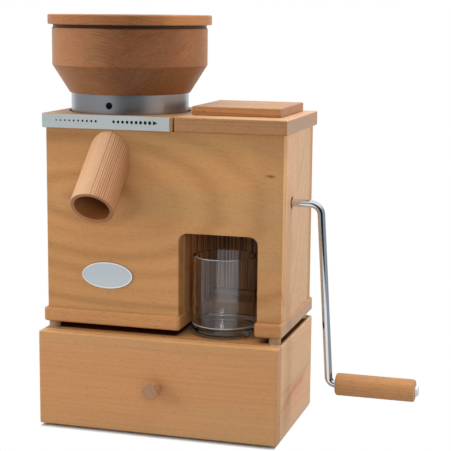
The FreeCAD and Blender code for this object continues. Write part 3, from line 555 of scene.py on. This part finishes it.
baseBoards = {
    "base_left_side": {
        "axes": "yzx", "tone": "blush", "Strip Width": 0.0608, "Strip Start": -0.0608, "Strip Spread": 0.3,
        "Seed": 12.3,
    },
    "base_right_side": {
        "axes": "yzx", "tone": "cream", "Strip Width": 0.0608, "Strip Start": -0.0608, "Strip Spread": 0.1,
        "Figure": 0.35, "Shade": 0.0, "Seed": 11.2,
    },
    "base_top_panel": {"axes": "xyz", "tone": "tan", "Pith": (0, 0.03, -0.15), "Seed": 13.8},
    "base_bottom_panel": {"axes": "xyz", "tone": "tan", "Seed": 14.1},
    "base_back_panel": {"axes": "xzy", "tone": "tan", "Seed": 15.5},
}
drawerBoards = {
    "drawer_front": {
        "axes": "xzy", "tone": "biscuit", "Pith": (0, 0.26, 0.06), "Lean": (0, 0.03, 0),
        "Ring Width": 0.0065, "Ring Edge": 0.7, "Wander": 0.05, "Figure": 0.12, "Streak": 0.70,
        "Flecks": 0.30, "Tone Spread": 0.55, "Shade": 0.21, "Seed": 16.9,
    },
    "drawer_left_side": {"axes": "yzx", "tone": "rose", "Seed": 17.3},
    "drawer_right_side": {"axes": "yzx", "tone": "rose", "Seed": 18.7},
    "drawer_back": {"axes": "xzy", "tone": "rose", "Seed": 19.2},
    "drawer_floor": {"axes": "xyz", "tone": "honey", "Seed": 20.4},
}

# turned pieces: spout, handle and knob have the grain along their own axis
spoutSlope = math.radians(42.5)
spoutAlong = Vector((0, -math.cos(spoutSlope), -math.sin(spoutSlope)))
spoutAcross = Vector((1, 0, 0))
turnedWood = {
    "spout": {
        "rows": Matrix((spoutAlong, spoutAcross, spoutAlong.cross(spoutAcross))),
        "center": (-0.068, -0.0673, 0.3342), "tone": "pale", "Pith": (0, 0.078, -0.045),
        "Ring Width": 0.0025, "Wander": 0.004, "Streak": 0.35, "Flecks": 0.15, "Tone Spread": 0.2,
        "End Tone": (0.30, 0.125, 0.055), "End Shade": 0.85, "Seed": 21.6,
    },
    "crank_handle": {
        "axes": "xyz", "tone": "amber", "Pith": (0, 0.02, -0.05), "Ring Width": 0.0035, "Ring Edge": 0.7,
        "Wander": 0.01, "Figure": 0.4, "Streak": 0.7, "Tone Spread": 0.5, "Shade": 0.05, "Seed": 22.2,
    },
    "drawer_knob": {
        "axes": "yxz", "tone": "dusky", "Pith": (0, 0.07, -0.035), "Ring Width": 0.0032, "Wander": 0.006,
        "Streak": 0.3, "Flecks": 0.3, "End Shade": 0.10, "Seed": 23.5,
    },
    "hopper_lid": {
        "axes": "xyz", "slant": -106.2, "tone": "copper", "Pith": (0, 0.02, -0.2), "Strip Width": 0.05,
        "Strip Start": -0.014, "Strip Spread": 0.12, "Figure": 0.25, "End Shade": 0.0, "Seed": 24.8,
    },
}
boardNodes = {}
for boards in (housingBoards, baseBoards, drawerBoards, turnedWood):
    for name, wood in boards.items():
        boardNodes[name] = makeBoard(name, wood)
print("boards dressed")

stripeDetail = (3, 0.6)


def measured(tree, place, axis):
    return parted(tree, place)["xyz".index(axis)]


# masks: each gives a function of a tree, the piece's own coordinates and its grain
def above(axis, level):
    return lambda tree, place, grain: sums(tree, "GREATER_THAN", measured(tree, place, axis), level)


def below(axis, level):
    return lambda tree, place, grain: sums(tree, "LESS_THAN", measured(tree, place, axis), level)


def fading(axis, *ends):
    return lambda tree, place, grain: between(tree, measured(tree, place, axis), *ends)


def acrossGrain(*ends):
    return lambda tree, place, grain: between(tree, measured(tree, grain, "y"), *ends)


def striped(stretch, *ends):
    return lambda tree, place, grain: between(tree, drawnNoise(tree, place, stretch, *stripeDetail), *ends)


def near(axis, level, low, high):
    def mask(tree, place, grain):
        away = sums(tree, "ABSOLUTE", sums(tree, "SUBTRACT", measured(tree, place, axis), level))
        return between(tree, away, low, high, 1.0, 0.0)
    return mask


def combined(operation, masks):
    def mask(tree, place, grain):
        result = masks[0](tree, place, grain)
        for other in masks[1:]:
            result = sums(tree, operation, result, other(tree, place, grain))
        return result
    return mask


def every(*masks):
    return combined("MULTIPLY", masks)


def either(*masks):
    return combined("MAXIMUM", masks)


# places where a board's wood or its light differs, in metres
spots = {
    "spoutBore": (0.0218, 0.0222),  # from the spout's axis
    "spoutSides": (-0.020, 0.022),
    "knobFace": (0.0008, 0.0024),  # from the knob's front
    "lidEnds": (-0.114, 0.136),
    "lidNeck": 0.4965,  # height of the hopper lid's underside
    "lidTop": 0.3997,  # the flaker lid's upper face
    "coneTop": 0.4469,  # height of the hopper's bend
    "nicheBack": 0.0725,
    "nicheSide": (0.108, 0.124),
    "sillFoot": 0.1528,  # a dark joint near the foot of the niche's back
    "sillTop": 0.1560,
    "frontShade": (0.32, 0.372),
    "boardFront": -0.0676,
    "rightLeg": 0.110,  # right of the niche
    "legDepth": (-0.060, 0.0),
    "rightEnd": 0.1500,  # the front panel's end, seen from the side
    "notchWall": (0.125, 0.135),  # the lower board's end grain is grey beyond its notch
    "notchLeft": (0.0160, 0.0220),
    "notchRight": (0.1180, 0.1300),
    "notchBack": (0.055, 0.070),
    "housingFront": (-0.0662, -0.0642),
    "housingSide": (0.1485, 0.1505),
    "baseTop": 0.1211,
    "drawerFade": (-0.06, 0.14),
}
# stretch of the stripes in the niche, and the noise they lie between
nicheStripes = {"back": ((420, 1, 5), 0.42, 0.60), "wall": ((1, 190, 3), 0.465, 0.550)}
# a reddish flame under the glued joint in the base's right side; its darkest wood is a line that climbs
flameWood = {
    "joint": 0.0605,
    "jointWidth": (0.0002, 0.0008),
    "rise": (0.012, 0.0605),
    "start": (-0.075, -0.03),
    "end": (0.02, 0.07),
    "streaks": ((1, 9, 85), 0.34, 0.60),
    "line": {
        "streaks": (1, 14, 40), "waver": 0.020, "height": 0.0505, "slope": 0.12, "width": 0.007,
        "depth": 0.8,
    },
    "lineStart": (-0.085, -0.03),
    "lineEnd": (0.03, 0.075),
}


# painted shade inside the spout's bore
def boreShadeMask(tree, place, grain):
    fromAxis = vectorSums(tree, "LENGTH", vectorSums(tree, "MULTIPLY", grain, (0, 1, 1)))
    return between(tree, fromAxis, *spots["spoutBore"], 1.0, 0.0)


def flameLine(tree, place, grain):
    line = flameWood["line"]
    y, height = parted(tree, place)[1:3]
    streak = sums(tree, "SUBTRACT", drawnNoise(tree, place, line["streaks"]), 0.5)
    climb = sums(tree, "MULTIPLY_ADD", streak, line["waver"], line["height"])
    climb = sums(tree, "MULTIPLY_ADD", y, line["slope"], climb)
    away = sums(tree, "ABSOLUTE", sums(tree, "SUBTRACT", height, climb))
    return between(tree, away, 0.0, line["width"], line["depth"], 0.0)


def lidShade(tree, place, grain):
    # the lid's tone runs smoothly from its right end to its left, dark in the middle and light at the right
    # end: partly its wood and partly painted light and shade
    low, high = spots["lidEnds"]
    share = sums(tree, "DIVIDE", sums(tree, "SUBTRACT", parted(tree, grain)[1], low), high - low)
    return smoothRamp(tree, share, (-0.30, -0.26, 0.04, 0.50, 0.68, 0.58, 0.48, 0.42, 0.16, 0.12, 0.12))


def varyWood(name, socket, mask):
    tree, shader, place, grain, group = boardNodes[name]
    plug(tree, mask(tree, place, grain), group.inputs[socket])


def tintWhere(name, mask, tint):
    tree, shader, place, grain, group = boardNodes[name]
    color = shader.inputs["Base Color"].links[0].from_socket
    wire(tree, shader, Base_Color=mixed(tree, mask(tree, place, grain), color, tint, "MULTIPLY"))


def dullWhere(name, mask):
    tree, shader, place, grain, group = boardNodes[name]
    sheen = shader.inputs["Specular IOR Level"]
    kept = sums(tree, "SUBTRACT", 1.0, mask(tree, place, grain))
    plug(tree, sums(tree, "MULTIPLY", kept, sheen.default_value), sheen)


# rings and shade that change across a piece
low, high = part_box("drawer_knob")
knobFace = [low.y + depth for depth in spots["knobFace"]]
varyWood("lower_board", "End Shade", fading("x", *spots["notchWall"], 0.0, 0.6))
varyWood("drawer_knob", "Figure", fading("y", *knobFace, 0.85, 0.12))
varyWood("drawer_knob", "Shade", fading("y", *knobFace, 0.26, 0.04))
varyWood("spout", "Figure", acrossGrain(*spots["spoutSides"], 0.20, 1.20))
# painted shade: the spout darkens from its left side to its right
varyWood("spout", "Shade", acrossGrain(*spots["spoutSides"], -0.07, 0.38))
varyWood("hopper_lid", "Shade", lidShade)

inNiche = below("y", spots["nicheBack"])
sill = either(below("z", spots["sillTop"]), striped(*nicheStripes["back"]))
underJoint = below("z", flameWood["joint"])
flame = every(fading("y", *flameWood["start"]), fading("y", *flameWood["end"], 1.0, 0.0),
              fading("z", *flameWood["rise"], 0.1, 1.0), underJoint, striped(*flameWood["streaks"]))
flameEdge = every(flameLine, fading("y", *flameWood["lineEnd"], 1.0, 0.0),
                  fading("y", *flameWood["lineStart"]), underJoint)
beforeEnd = below("x", spots["rightEnd"])
frontLeg = every(above("x", spots["rightLeg"]), beforeEnd, fading("y", *spots["legDepth"], 1.0, 0.0))
# painted shadow: the base's top is darkened under the housing, but not in the notch where the glass stands
aroundNotch = either(fading("x", *spots["notchLeft"], 1.0, 0.0), fading("x", *spots["notchRight"]),
                     fading("y", *spots["notchBack"]))
paintedShadowUnderHousing = every(fading("y", *spots["housingFront"]), near("x", 0.0, *spots["housingSide"]),
                     aroundNotch, above("z", spots["baseTop"]))
carriers = ("base_top_panel", "base_left_side", "base_right_side")
woodTints = (
    # painted shade: the spout's wood is darkened inside its bore
    ("spout", boreShadeMask, (0.52, 0.34, 0.18)),
    # painted shade: the hopper lid's neck under its rim is darkened, as in the shaded gap above the hopper
    ("hopper_lid", below("z", spots["lidNeck"]), (0.12, 0.10, 0.08)),
    # inside the niche the back panel's grain stripes and the joint at its sill are darkened, grain and joint
    # deepened by painted shade
    ("back_panel", every(inNiche, sill, above("z", spots["sillFoot"])), (0.17, 0.11, 0.07)),
    # painted shade: the back panel's whole face inside the niche is darkened
    ("back_panel", inNiche, (0.93, 0.80, 0.66)),
    ("partition_panel", striped(*nicheStripes["wall"]), (0.50, 0.37, 0.28)),
    # painted shade: the right top board's front face is darkened below its pale top
    ("top_board_right", below("y", spots["boardFront"]), (0.56, 0.49, 0.39)),
    # painted sheen: the flaker lid's top face is brightened and paled
    ("flaker_lid", above("z", spots["lidTop"]), (1.05, 1.12, 1.25)),
    ("lower_board", frontLeg, (0.80, 0.78, 0.76)),
    ("front_panel", fading("z", *spots["frontShade"]), (0.80, 0.78, 0.74)),
    # painted sheen: the front panel's end, seen from the side, is brightened and paled
    ("front_panel", above("x", spots["rightEnd"]), (1.14, 1.21, 1.30)),
    ("front_panel", every(fading("x", *spots["nicheSide"]), beforeEnd), (0.92, 0.93, 0.98)),
    *((name, paintedShadowUnderHousing, (0.15, 0.10, 0.07)) for name in carriers),
    # painted light: the drawer front's top edge is brightened
    ("drawer_front", above("z", spots["baseTop"]), (1.28, 1.30, 1.27)),
    # painted shade: the drawer front darkens towards its right
    ("drawer_front", fading("x", *spots["drawerFade"]), (0.92, 0.93, 0.92)),
    ("base_right_side", underJoint, (1.09, 1.01, 1.02)),
    ("base_right_side", flame, (0.98, 0.80, 0.76)),
    ("base_right_side", flameEdge, (0.80, 0.60, 0.55)),
    ("base_right_side", near("z", flameWood["joint"], *flameWood["jointWidth"]), (0.70, 0.58, 0.50)),
)
for name, mask, tint in woodTints:
    tintWhere(name, mask, tint)
# the painted shadow under the housing also loses its sheen
for name in carriers:
    dullWhere(name, paintedShadowUnderHousing)

# the hopper is turned from staves glued in a ring
hopperStaves = {
    "axis": (-0.0705, 0.015, 0.44),
    "count": 12,
    "start": -75.1,  # degrees from +x to the first joint
    # tones at the stave joints run smoothly round the hopper, lighter at its left and darker towards the
    # front: partly the staves' wood, partly painted light and shade
    "tonesWithPaintedShade": (0.64, 0.60, 0.42, 0.20, 0.30, 0.22, 0.34, 0.20, 0.02, -0.14, 0.08, 0.36),
    "ownTone": 0.15,
    "ownShift": (3.0, 0.06, 0.03),  # how far apart two staves grew
    "tilt": 1.3,  # the widest lean of a stave's grain, in radians from end to end
    "fineness": 2.4,
    "index": 1.36,  # less sheen than the boards
    "paintedConeShade": (0.80, 0.78, 0.75),  # painted shade: the cone, facing down, is darkened a little below the bowl
    "wood": {
        "tone": "chestnut", "Pith": (0, 0.30, 0.15), "Ring Width": 0.006, "Ring Edge": 0.7, "Wander": 0.03,
        "Figure": 0.06, "Streak": 0.70, "Flecks": 0.25, "Tone Spread": 0.2, "Seed": 25.7,
    },
}


def turnedZ(tree, vector, angle):
    node = put(tree, "ShaderNodeVectorRotate", rotation_type="Z_AXIS")
    return wire(tree, node, Vector=vector, Angle=angle)[0]


def makeStaves(name, setup):
    material, tree, shader, place = startMaterial("beech_" + name, IOR=setup["index"])
    count = float(setup["count"])
    step = 2 * math.pi / count
    start = math.radians(setup["start"])
    fromAxis = vectorSums(tree, "SUBTRACT", place, setup["axis"])
    x, y = parted(tree, fromAxis)[0:2]
    turn = sums(tree, "DIVIDE", sums(tree, "SUBTRACT", sums(tree, "ARCTAN2", y, x), start), step)
    stave = sums(tree, "FLOORED_MODULO", sums(tree, "FLOOR", turn), count)
    staveMiddle = sums(tree, "ADD", stave, 0.5)
    middle = sums(tree, "MULTIPLY_ADD", staveMiddle, step, start + math.pi / 2)
    swung = turnedZ(tree, fromAxis, sums(tree, "MULTIPLY", middle, -1.0))
    along, inward, up = parted(tree, swung)
    own = put(tree, "ShaderNodeTexWhiteNoise", noise_dimensions="1D")
    wire(tree, own, W=staveMiddle)
    ownShift = vectorSums(tree, "SUBTRACT", own.outputs["Color"], halfGrey)
    ownTone, ownTilt = parted(tree, ownShift)[0:2]
    grain = turnedZ(tree, joined(tree, along, up, inward), sums(tree, "MULTIPLY", ownTilt, setup["tilt"]))
    grain = vectorSums(tree, "ADD", grain, vectorSums(tree, "MULTIPLY", ownShift, setup["ownShift"]))
    fineness = setup["fineness"]
    grain = vectorSums(tree, "MULTIPLY", grain, (fineness, fineness, fineness))
    share = sums(tree, "DIVIDE", sums(tree, "FLOORED_MODULO", turn, count), count)
    shade = smoothRamp(tree, share, (*setup["tonesWithPaintedShade"], setup["tonesWithPaintedShade"][0]))
    shade = sums(tree, "MULTIPLY_ADD", ownTone, setup["ownTone"], shade)
    wood = dict(setup["wood"], Shade=shade)
    group = finishBeech(tree, shader, grain, (0, 0, 1), wood)
    # painted shade on the cone
    paintedConeShade = below("z", spots["coneTop"])(tree, place, grain)
    color = mixed(tree, paintedConeShade, group.outputs["Color"], setup["paintedConeShade"], "MULTIPLY")
    wire(tree, shader, Base_Color=color)
    dress(name, material)


makeStaves("hopper", hopperStaves)
print("turned wood dressed")

# metals: brushed, polished and machined
metalFinishes = {
    "brushedPlate": {
        "nodes": ("scale_plate",), "base": (0.62, 0.69, 0.70), "worn": (0.68, 0.75, 0.76), "metal": 0.55,
        "stretch": (9, 900, 2200), "rough": (0.34, 0.42), "bump": 0.04,
    },
    "brushedCollar": {
        "nodes": ("collar_ring",), "base": (0.49, 0.52, 0.56), "worn": (0.56, 0.59, 0.63), "metal": 0.96,
        "stretch": (30, 30, 4000), "rough": (0.31, 0.37), "bump": 0.03,
    },
    "badgeMetal": {
        "nodes": ("badge_plate",), "base": (0.58, 0.65, 0.70), "worn": (0.63, 0.70, 0.74), "metal": 0.3,
        "stretch": (14, 900, 1900), "rough": (0.36, 0.46), "bump": 0.04,
    },
    "crankChrome": {
        "nodes": ("crank_rod",), "base": (0.70, 0.76, 0.83), "worn": (0.66, 0.72, 0.79), "stretch": 60,
        "rough": (0.05, 0.11), "bump": 0.01,
    },
    "capChrome": {
        "nodes": ("handle_cap",), "base": (0.95, 0.95, 0.95), "worn": (0.90, 0.90, 0.91), "metal": 0.5,
        "stretch": 60, "rough": (0.30, 0.40), "bump": 0.01,
    },
    "machinedSteel": {
        "nodes": ("drive_roller", "idler_roller", "drive_gear", "idler_gear",
                  "motor_shaft", "motor_bearings", "rotor_core", "stator_core"),
        "base": (0.50, 0.50, 0.51), "worn": (0.62, 0.62, 0.62), "stretch": (1400, 40, 40),
        "rough": (0.25, 0.42), "bump": 0.12,
    },
    "sheetSteel": {
        "nodes": ("flaker_plates", "motor_plate", "feed_funnel", "flake_chute"), "base": (0.52, 0.52, 0.53),
        "worn": (0.60, 0.60, 0.60), "stretch": (30, 400, 400), "rough": (0.28, 0.42), "bump": 0.08,
    },
    "zincScrew": {
        "nodes": ("panel_screws", "motor_bolts"), "base": (0.58, 0.58, 0.55), "worn": (0.68, 0.68, 0.66),
        "stretch": 500, "rough": (0.25, 0.45), "bump": 0.15,
    },
    "sinteredBronze": {
        "nodes": ("roller_bushes",), "base": (0.52, 0.36, 0.16), "worn": (0.62, 0.46, 0.24), "stretch": 900,
        "rough": (0.35, 0.5), "bump": 0.2,
    },
}
# moulded, painted, rubber and stone surfaces
plainFinishes = {
    "blackPlastic": {
        "nodes": ("switch_frame", "switch_rocker", "cable_gland", "capacitor", "cooling_fan"),
        "base": (0.016, 0.016, 0.018), "worn": (0.030, 0.030, 0.033), "stretch": 1500, "rough": (0.38, 0.55),
        "bump": 0.15,
    },
    "studPlastic": {
        "nodes": ("index_stud",), "base": (0.004, 0.004, 0.007), "worn": (0.008, 0.008, 0.012),
        "stretch": 1200, "rough": (0.25, 0.40), "bump": 0.08, "sheen": 0.15,
    },
    "greyPlastic": {
        "nodes": ("milling_chamber", "stone_holder", "stone_hub"), "base": (0.34, 0.34, 0.33),
        "worn": (0.40, 0.40, 0.39), "stretch": 1200, "rough": (0.42, 0.58), "bump": 0.12,
    },
    "motorEnamel": {
        "nodes": ("motor_can", "motor_end_shield"), "base": (0.055, 0.062, 0.070),
        "worn": (0.080, 0.088, 0.096), "stretch": 500, "rough": (0.30, 0.45), "bump": 0.10,
    },
    "footRubber": {
        "nodes": ("mill_feet",), "base": (0.34, 0.235, 0.135), "worn": (0.40, 0.285, 0.175), "stretch": 900,
        "rough": (0.75, 0.90), "bump": 0.18,
    },
    "millGrit": {
        "nodes": ("upper_millstone", "lower_millstone"), "base": (0.48, 0.45, 0.39),
        "worn": (0.64, 0.61, 0.55), "stretch": 700, "rough": (0.80, 0.95), "bump": 0.9,
    },
}

# fine lines or grit, and clouds of wear
metalWear = {
    "metal": 1.0, "fineDetail": (3, 0.6), "cloud": 22, "cloudDetail": 2.0, "wornShares": (0.5, 0.5),
    "wornRange": (0.3, 0.7), "roughShares": (0.5, 0.5), "bumpDepth": 0.0002,
}
plainWear = {
    "metal": 0.0, "fineDetail": (2, 0.6), "cloud": 30, "cloudDetail": 3.0, "wornShares": (0.6, 0.4),
    "wornRange": (0.35, 0.68), "roughShares": (0.0, 1.0), "bumpDepth": 0.0003,
}
roughRange = (0.3, 0.7)
plainSheen = 0.5


def blended(tree, first, second, shares):
    return sums(tree, "MULTIPLY_ADD", first, shares[0], sums(tree, "MULTIPLY", second, shares[1]))


def makeSurface(name, setup, wear):
    material, tree, shader, place = startMaterial(name, Metallic=setup.get("metal", wear["metal"]))
    fine = drawnNoise(tree, place, setup["stretch"], *wear["fineDetail"])
    cloud = drawnNoise(tree, place, wear["cloud"], wear["cloudDetail"])
    worn = between(tree, blended(tree, fine, cloud, wear["wornShares"]), *wear["wornRange"])
    rough = blended(tree, fine, cloud, wear["roughShares"])
    rough = between(tree, rough, *roughRange, *setup["rough"])
    wire(tree, shader, Base_Color=mixed(tree, worn, setup["base"], setup["worn"]), Roughness=rough,
         Specular_IOR_Level=setup.get("sheen", plainSheen))
    addBump(tree, shader, fine, setup["bump"], wear["bumpDepth"])
    for node in setup["nodes"]:
        dress(node, material)


for finishes, wear in ((metalFinishes, metalWear), (plainFinishes, plainWear)):
    for name, setup in finishes.items():
        makeSurface(name, setup, wear)

glassIndex = 1.48
glassFinish = {
    "tint": (0.955, 0.945, 0.940),
    "footTint": (0.55, 0.60, 0.57),  # the thick foot looks darker
    "foot": (0.008, 0.012),
    "ripple": 9.0,
    "bump": (0.02, 0.002),
}


def makeGlass(setup):
    material, tree, shader, place = startMaterial("pressedGlass", Roughness=0.0, IOR=glassIndex)
    low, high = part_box("catch_glass")
    foot = fading("z", *(low.z + height for height in setup["foot"]), 1.0, 0.0)(tree, place, place)
    color = mixed(tree, foot, setup["tint"], setup["footTint"])
    wire(tree, shader, Base_Color=color, Transmission_Weight=1.0)
    addBump(tree, shader, drawnNoise(tree, place, setup["ripple"], 1), *setup["bump"])
    dress("catch_glass", material)


makeGlass(glassFinish)
print("metal, plastic, stone and glass dressed")

# printed scale on the plate: dots that grow towards an arrowhead
scaleMarks = {
    "dots": {
        "Count": 22,
        "Bare From": 10,  # the row's bare middle
        "Bare To": 12,
        "First": (-0.1352, -0.0699, 0.38145),
        "Pitch": 0.005755,
        "Smallest": 0.00090,
        "Largest": 0.00198,
        "Tallness": 1.15,
        "Thickness": 0.0003,
        "Corners": 20,
    },
    "arrow": ((-0.0102, 0.0025), (-0.0102, -0.0025), (-0.0046, 0.0)),
    "paint": (0.008, 0.008, 0.010),
    "worn": (0.020, 0.021, 0.024),
    "cloud": 900,
}
paintCloud = 240


def makePaint(name, setup, **fixed):
    material, tree, shader, place = startMaterial(name, **fixed)
    wear = drawnNoise(tree, place, setup.get("cloud", paintCloud))
    wire(tree, shader, Base_Color=mixed(tree, wear, setup["paint"], setup["worn"]))
    return material


def startNodes(name, values):
    tree = bpy.data.node_groups.new(name, "GeometryNodeTree")
    settings = addInputs(tree, values)
    tree.interface.new_socket(name="Geometry", in_out="OUTPUT", socket_type="NodeSocketGeometry")
    return tree, settings, put(tree, "NodeGroupInput").outputs


def endNodes(tree, instances, material):
    real = put(tree, "GeometryNodeRealizeInstances")
    plug(tree, instances, real.inputs[0])
    coated = put(tree, "GeometryNodeSetMaterial")
    wire(tree, coated, Geometry=real.outputs[0], Material=material)
    plug(tree, coated.outputs[0], put(tree, "NodeGroupOutput").inputs[0])


def bakeNodes(name, tree, settings):
    # the modifier's result becomes a plain mesh
    holder = addObject(name, bpy.data.meshes.new(name + "Start"))
    modifier = holder.modifiers.new(name, "NODES")
    modifier.node_group = tree
    for identifier, value in settings.items():
        modifier[identifier] = value
    bpy.context.view_layer.update()
    plain = bpy.data.meshes.new_from_object(holder.evaluated_get(bpy.context.evaluated_depsgraph_get()))
    holder.modifiers.clear()
    holder.data = plain
    plain.name = name
    return holder


def makeDots(values, material):
    tree, settings, given = startNodes("scaleDots", values)
    apart = joined(tree, given["Pitch"], 0.0, 0.0)
    line = put(tree, "GeometryNodeMeshLine", mode="OFFSET")
    wire(tree, line, Count=given["Count"], Start_Location=given["First"], Offset=apart)
    index = put(tree, "GeometryNodeInputIndex").outputs[0]
    share = sums(tree, "DIVIDE", index, given["Count"])
    size = partWay(tree, share, given["Smallest"], given["Largest"])
    before = sums(tree, "LESS_THAN", index, given["Bare From"])
    after = sums(tree, "GREATER_THAN", index, given["Bare To"])
    dot = put(tree, "GeometryNodeMeshCylinder")
    wire(tree, dot, Vertices=given["Corners"], Radius=1.0, Depth=1.0)
    tall = sums(tree, "MULTIPLY", size, given["Tallness"])
    stand = put(tree, "GeometryNodeInstanceOnPoints")
    wire(tree, stand, Points=line.outputs[0], Selection=sums(tree, "MAXIMUM", before, after),
         Instance=dot.outputs["Mesh"], Rotation=(math.pi / 2, 0, 0),
         Scale=joined(tree, size, tall, given["Thickness"]))
    endNodes(tree, stand.outputs[0], material)
    return bakeNodes("scaleDots", tree, settings)


def makeScale(setup):
    ink = makePaint("scaleInk", setup, Roughness=0.55, Specular_IOR_Level=0.1)
    dots = makeDots(setup["dots"], ink)
    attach(dots, "housing")
    y0, z0 = setup["dots"]["First"][1:]
    thickness = setup["dots"]["Thickness"]
    front = [(x, y0 - thickness / 2, z0 + z) for x, z in setup["arrow"]]
    back = [(x, y0 + thickness / 2, z) for x, _, z in front]
    mesh = bpy.data.meshes.new("scaleArrow")
    mesh.from_pydata(front + back, [], [(0, 1, 2), (5, 4, 3), (0, 3, 4, 1), (1, 4, 5, 2), (2, 5, 3, 0)])
    mesh.materials.append(ink)
    arrow = addObject("scaleArrow", mesh)
    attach(arrow, "housing")


makeScale(scaleMarks)
print("scale printed")

# raised rim round the badge painted pale as a painted highlight on its bevel, and a dark line as painted
# shadow where it meets the wood
badgeRings = {
    "badgeHighlightRim": {"inset": 0.0009, "radius": 0.0007, "paint": (0.80, 0.76, 0.70), "worn": (0.88, 0.85, 0.80)},
    "badgeShadowSeam": {
        "inset": -0.0002, "radius": 0.0004, "paint": (0.10, 0.075, 0.05), "worn": (0.16, 0.12, 0.085),
    },
}
ringShape = {"steps": 96, "rounding": 3}


def ringTube(name, center, first, second, radius):
    # a closed round tube along the ellipse center + first * cos + second * sin
    curve = bpy.data.curves.new(name, "CURVE")
    curve.dimensions = "3D"
    curve.bevel_depth = radius
    curve.bevel_resolution = ringShape["rounding"]
    line = curve.splines.new("POLY")
    line.points.add(ringShape["steps"] - 1)
    line.use_cyclic_u = True
    for i, point in enumerate(line.points):
        turn = 2 * math.pi * i / ringShape["steps"]
        place = Vector(center) + Vector(first) * math.cos(turn) + Vector(second) * math.sin(turn)
        point.co = (*place, 1)
    holder = addObject(name + "Curve", curve)
    bpy.context.view_layer.update()
    mesh = bpy.data.meshes.new_from_object(holder.evaluated_get(bpy.context.evaluated_depsgraph_get()))
    bpy.data.objects.remove(holder)
    mesh.name = name
    mesh.materials.clear()
    return mesh


def makeRing(name, setup):
    low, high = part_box("badge_plate")
    center = (low + high) / 2
    half = (high - low) / 2
    wide, tall = half.x - setup["inset"], half.z - setup["inset"]
    depth = low.y if setup["inset"] > 0 else high.y
    mesh = ringTube(name, (center.x, depth, center.z), (wide, 0, 0), (0, 0, tall), setup["radius"])
    mesh.materials.append(makePaint(name + "Paint", setup, Roughness=0.4))
    ring = addObject(name, mesh)
    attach(ring, "housing")


for name, setup in badgeRings.items():
    makeRing(name, setup)
print("badge rim laid")

# painted highlights: thin pale tubes round the catch glass, at its rim and at the edge of its thick floor,
# stand in for bright lines of light
glassHighlightBeads = {
    "rimHighlightBead": {"inset": 0.0012, "height": 0.0975, "radius": 0.0005},
    "floorHighlightRing": {"inset": -0.0001, "height": 0.0138, "radius": 0.0004},
}
highlightBeadGlass = {
    "clear": (0.86, 0.89, 0.90),
    "clouded": (0.93, 0.95, 0.96),
    "cloud": 160,
    "cloudRange": (0.35, 0.65),
    # painted highlight: the rim is pale in front only, and clear glass elsewhere
    "front": (-0.024, -0.014),
    "right": (0.020, 0.030),
    "seeThrough": (1.0, 0.45),
}


def makeHighlightBeads(beads, setup):
    low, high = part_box("catch_glass")
    center = (low + high) / 2
    material, tree, shader, place = startMaterial("paintedHighlightBead", Roughness=0.12, IOR=glassIndex)
    cloud = between(tree, drawnNoise(tree, place, setup["cloud"]), *setup["cloudRange"])
    wire(tree, shader, Base_Color=mixed(tree, cloud, setup["clear"], setup["clouded"]))
    front = fading("y", *(center.y + y for y in setup["front"]), 1.0, 0.0)
    left = fading("x", *(center.x + x for x in setup["right"]), 1.0, 0.0)
    highlightShare = either(every(front, left), below("z", center.z))(tree, place, place)
    wire(tree, shader, Transmission_Weight=partWay(tree, highlightShare, *setup["seeThrough"]))
    for name, bead in beads.items():
        reach = (high.x - low.x) / 2 - bead["inset"]
        middle = (center.x, center.y, low.z + bead["height"])
        mesh = ringTube(name, middle, (reach, 0, 0), (0, reach, 0), bead["radius"])
        mesh.materials.append(material)
        piece = addObject(name, mesh)
        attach(piece, "glass")


makeHighlightBeads(glassHighlightBeads, highlightBeadGlass)
print("glass rim polished")

# painted shade: dark crosses laid on the heads of the back panel's screws stand in for their cross recesses
screwCross = {
    "cuts": {"Levels": 4, "Reach": 0.0050, "Width": 0.0011, "Depth": 0.0004},
    "headRadius": 0.0042,
    "paint": (0.030, 0.029, 0.027),
    "worn": (0.070, 0.068, 0.064),
    "cloud": 700,
}


def layCrossShades(values, material):
    tree, settings, given = startNodes("screwCrosses", values)
    heads = put(tree, "GeometryNodeMeshGrid")
    wire(tree, heads, Size_X=given["Width Apart"], Size_Y=given["Height Apart"],
         Vertices_X=2, Vertices_Y=given["Levels"])
    upright = put(tree, "GeometryNodeTransform")
    wire(tree, upright, Geometry=heads.outputs["Mesh"], Translation=given["Middle"],
         Rotation=(math.pi / 2, 0, 0))
    cross = put(tree, "GeometryNodeJoinGeometry")
    for wide, tall in (("Reach", "Width"), ("Width", "Reach")):
        bar = put(tree, "GeometryNodeMeshCube")
        wire(tree, bar, Size=joined(tree, given[wide], given["Depth"], given[tall]))
        plug(tree, bar.outputs["Mesh"], cross.inputs[0])
    turn = put(tree, "FunctionNodeRandomValue", data_type="FLOAT_VECTOR")
    wire(tree, turn, Min=(0, 0, 0), Max=(0, math.pi / 2, 0))
    stand = put(tree, "GeometryNodeInstanceOnPoints")
    wire(tree, stand, Points=upright.outputs[0], Instance=cross.outputs[0], Rotation=turn.outputs["Value"])
    endNodes(tree, stand.outputs[0], material)
    return bakeNodes("screwCrosses", tree, settings)


def makeCrosses(setup):
    low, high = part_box("panel_screws")
    material = makePaint("screwRecessShade", setup, Metallic=0.6, Roughness=0.5)
    middle = (low + high) / 2
    apart = high - low - 2 * Vector((1, 1, 1)) * setup["headRadius"]
    values = {"Width Apart": apart.x, "Height Apart": apart.z, "Middle": (middle.x, high.y, middle.z)}
    crosses = layCrossShades({**setup["cuts"], **values}, material)
    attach(crosses, "housing")


makeCrosses(screwCross)
print("screw heads cut")
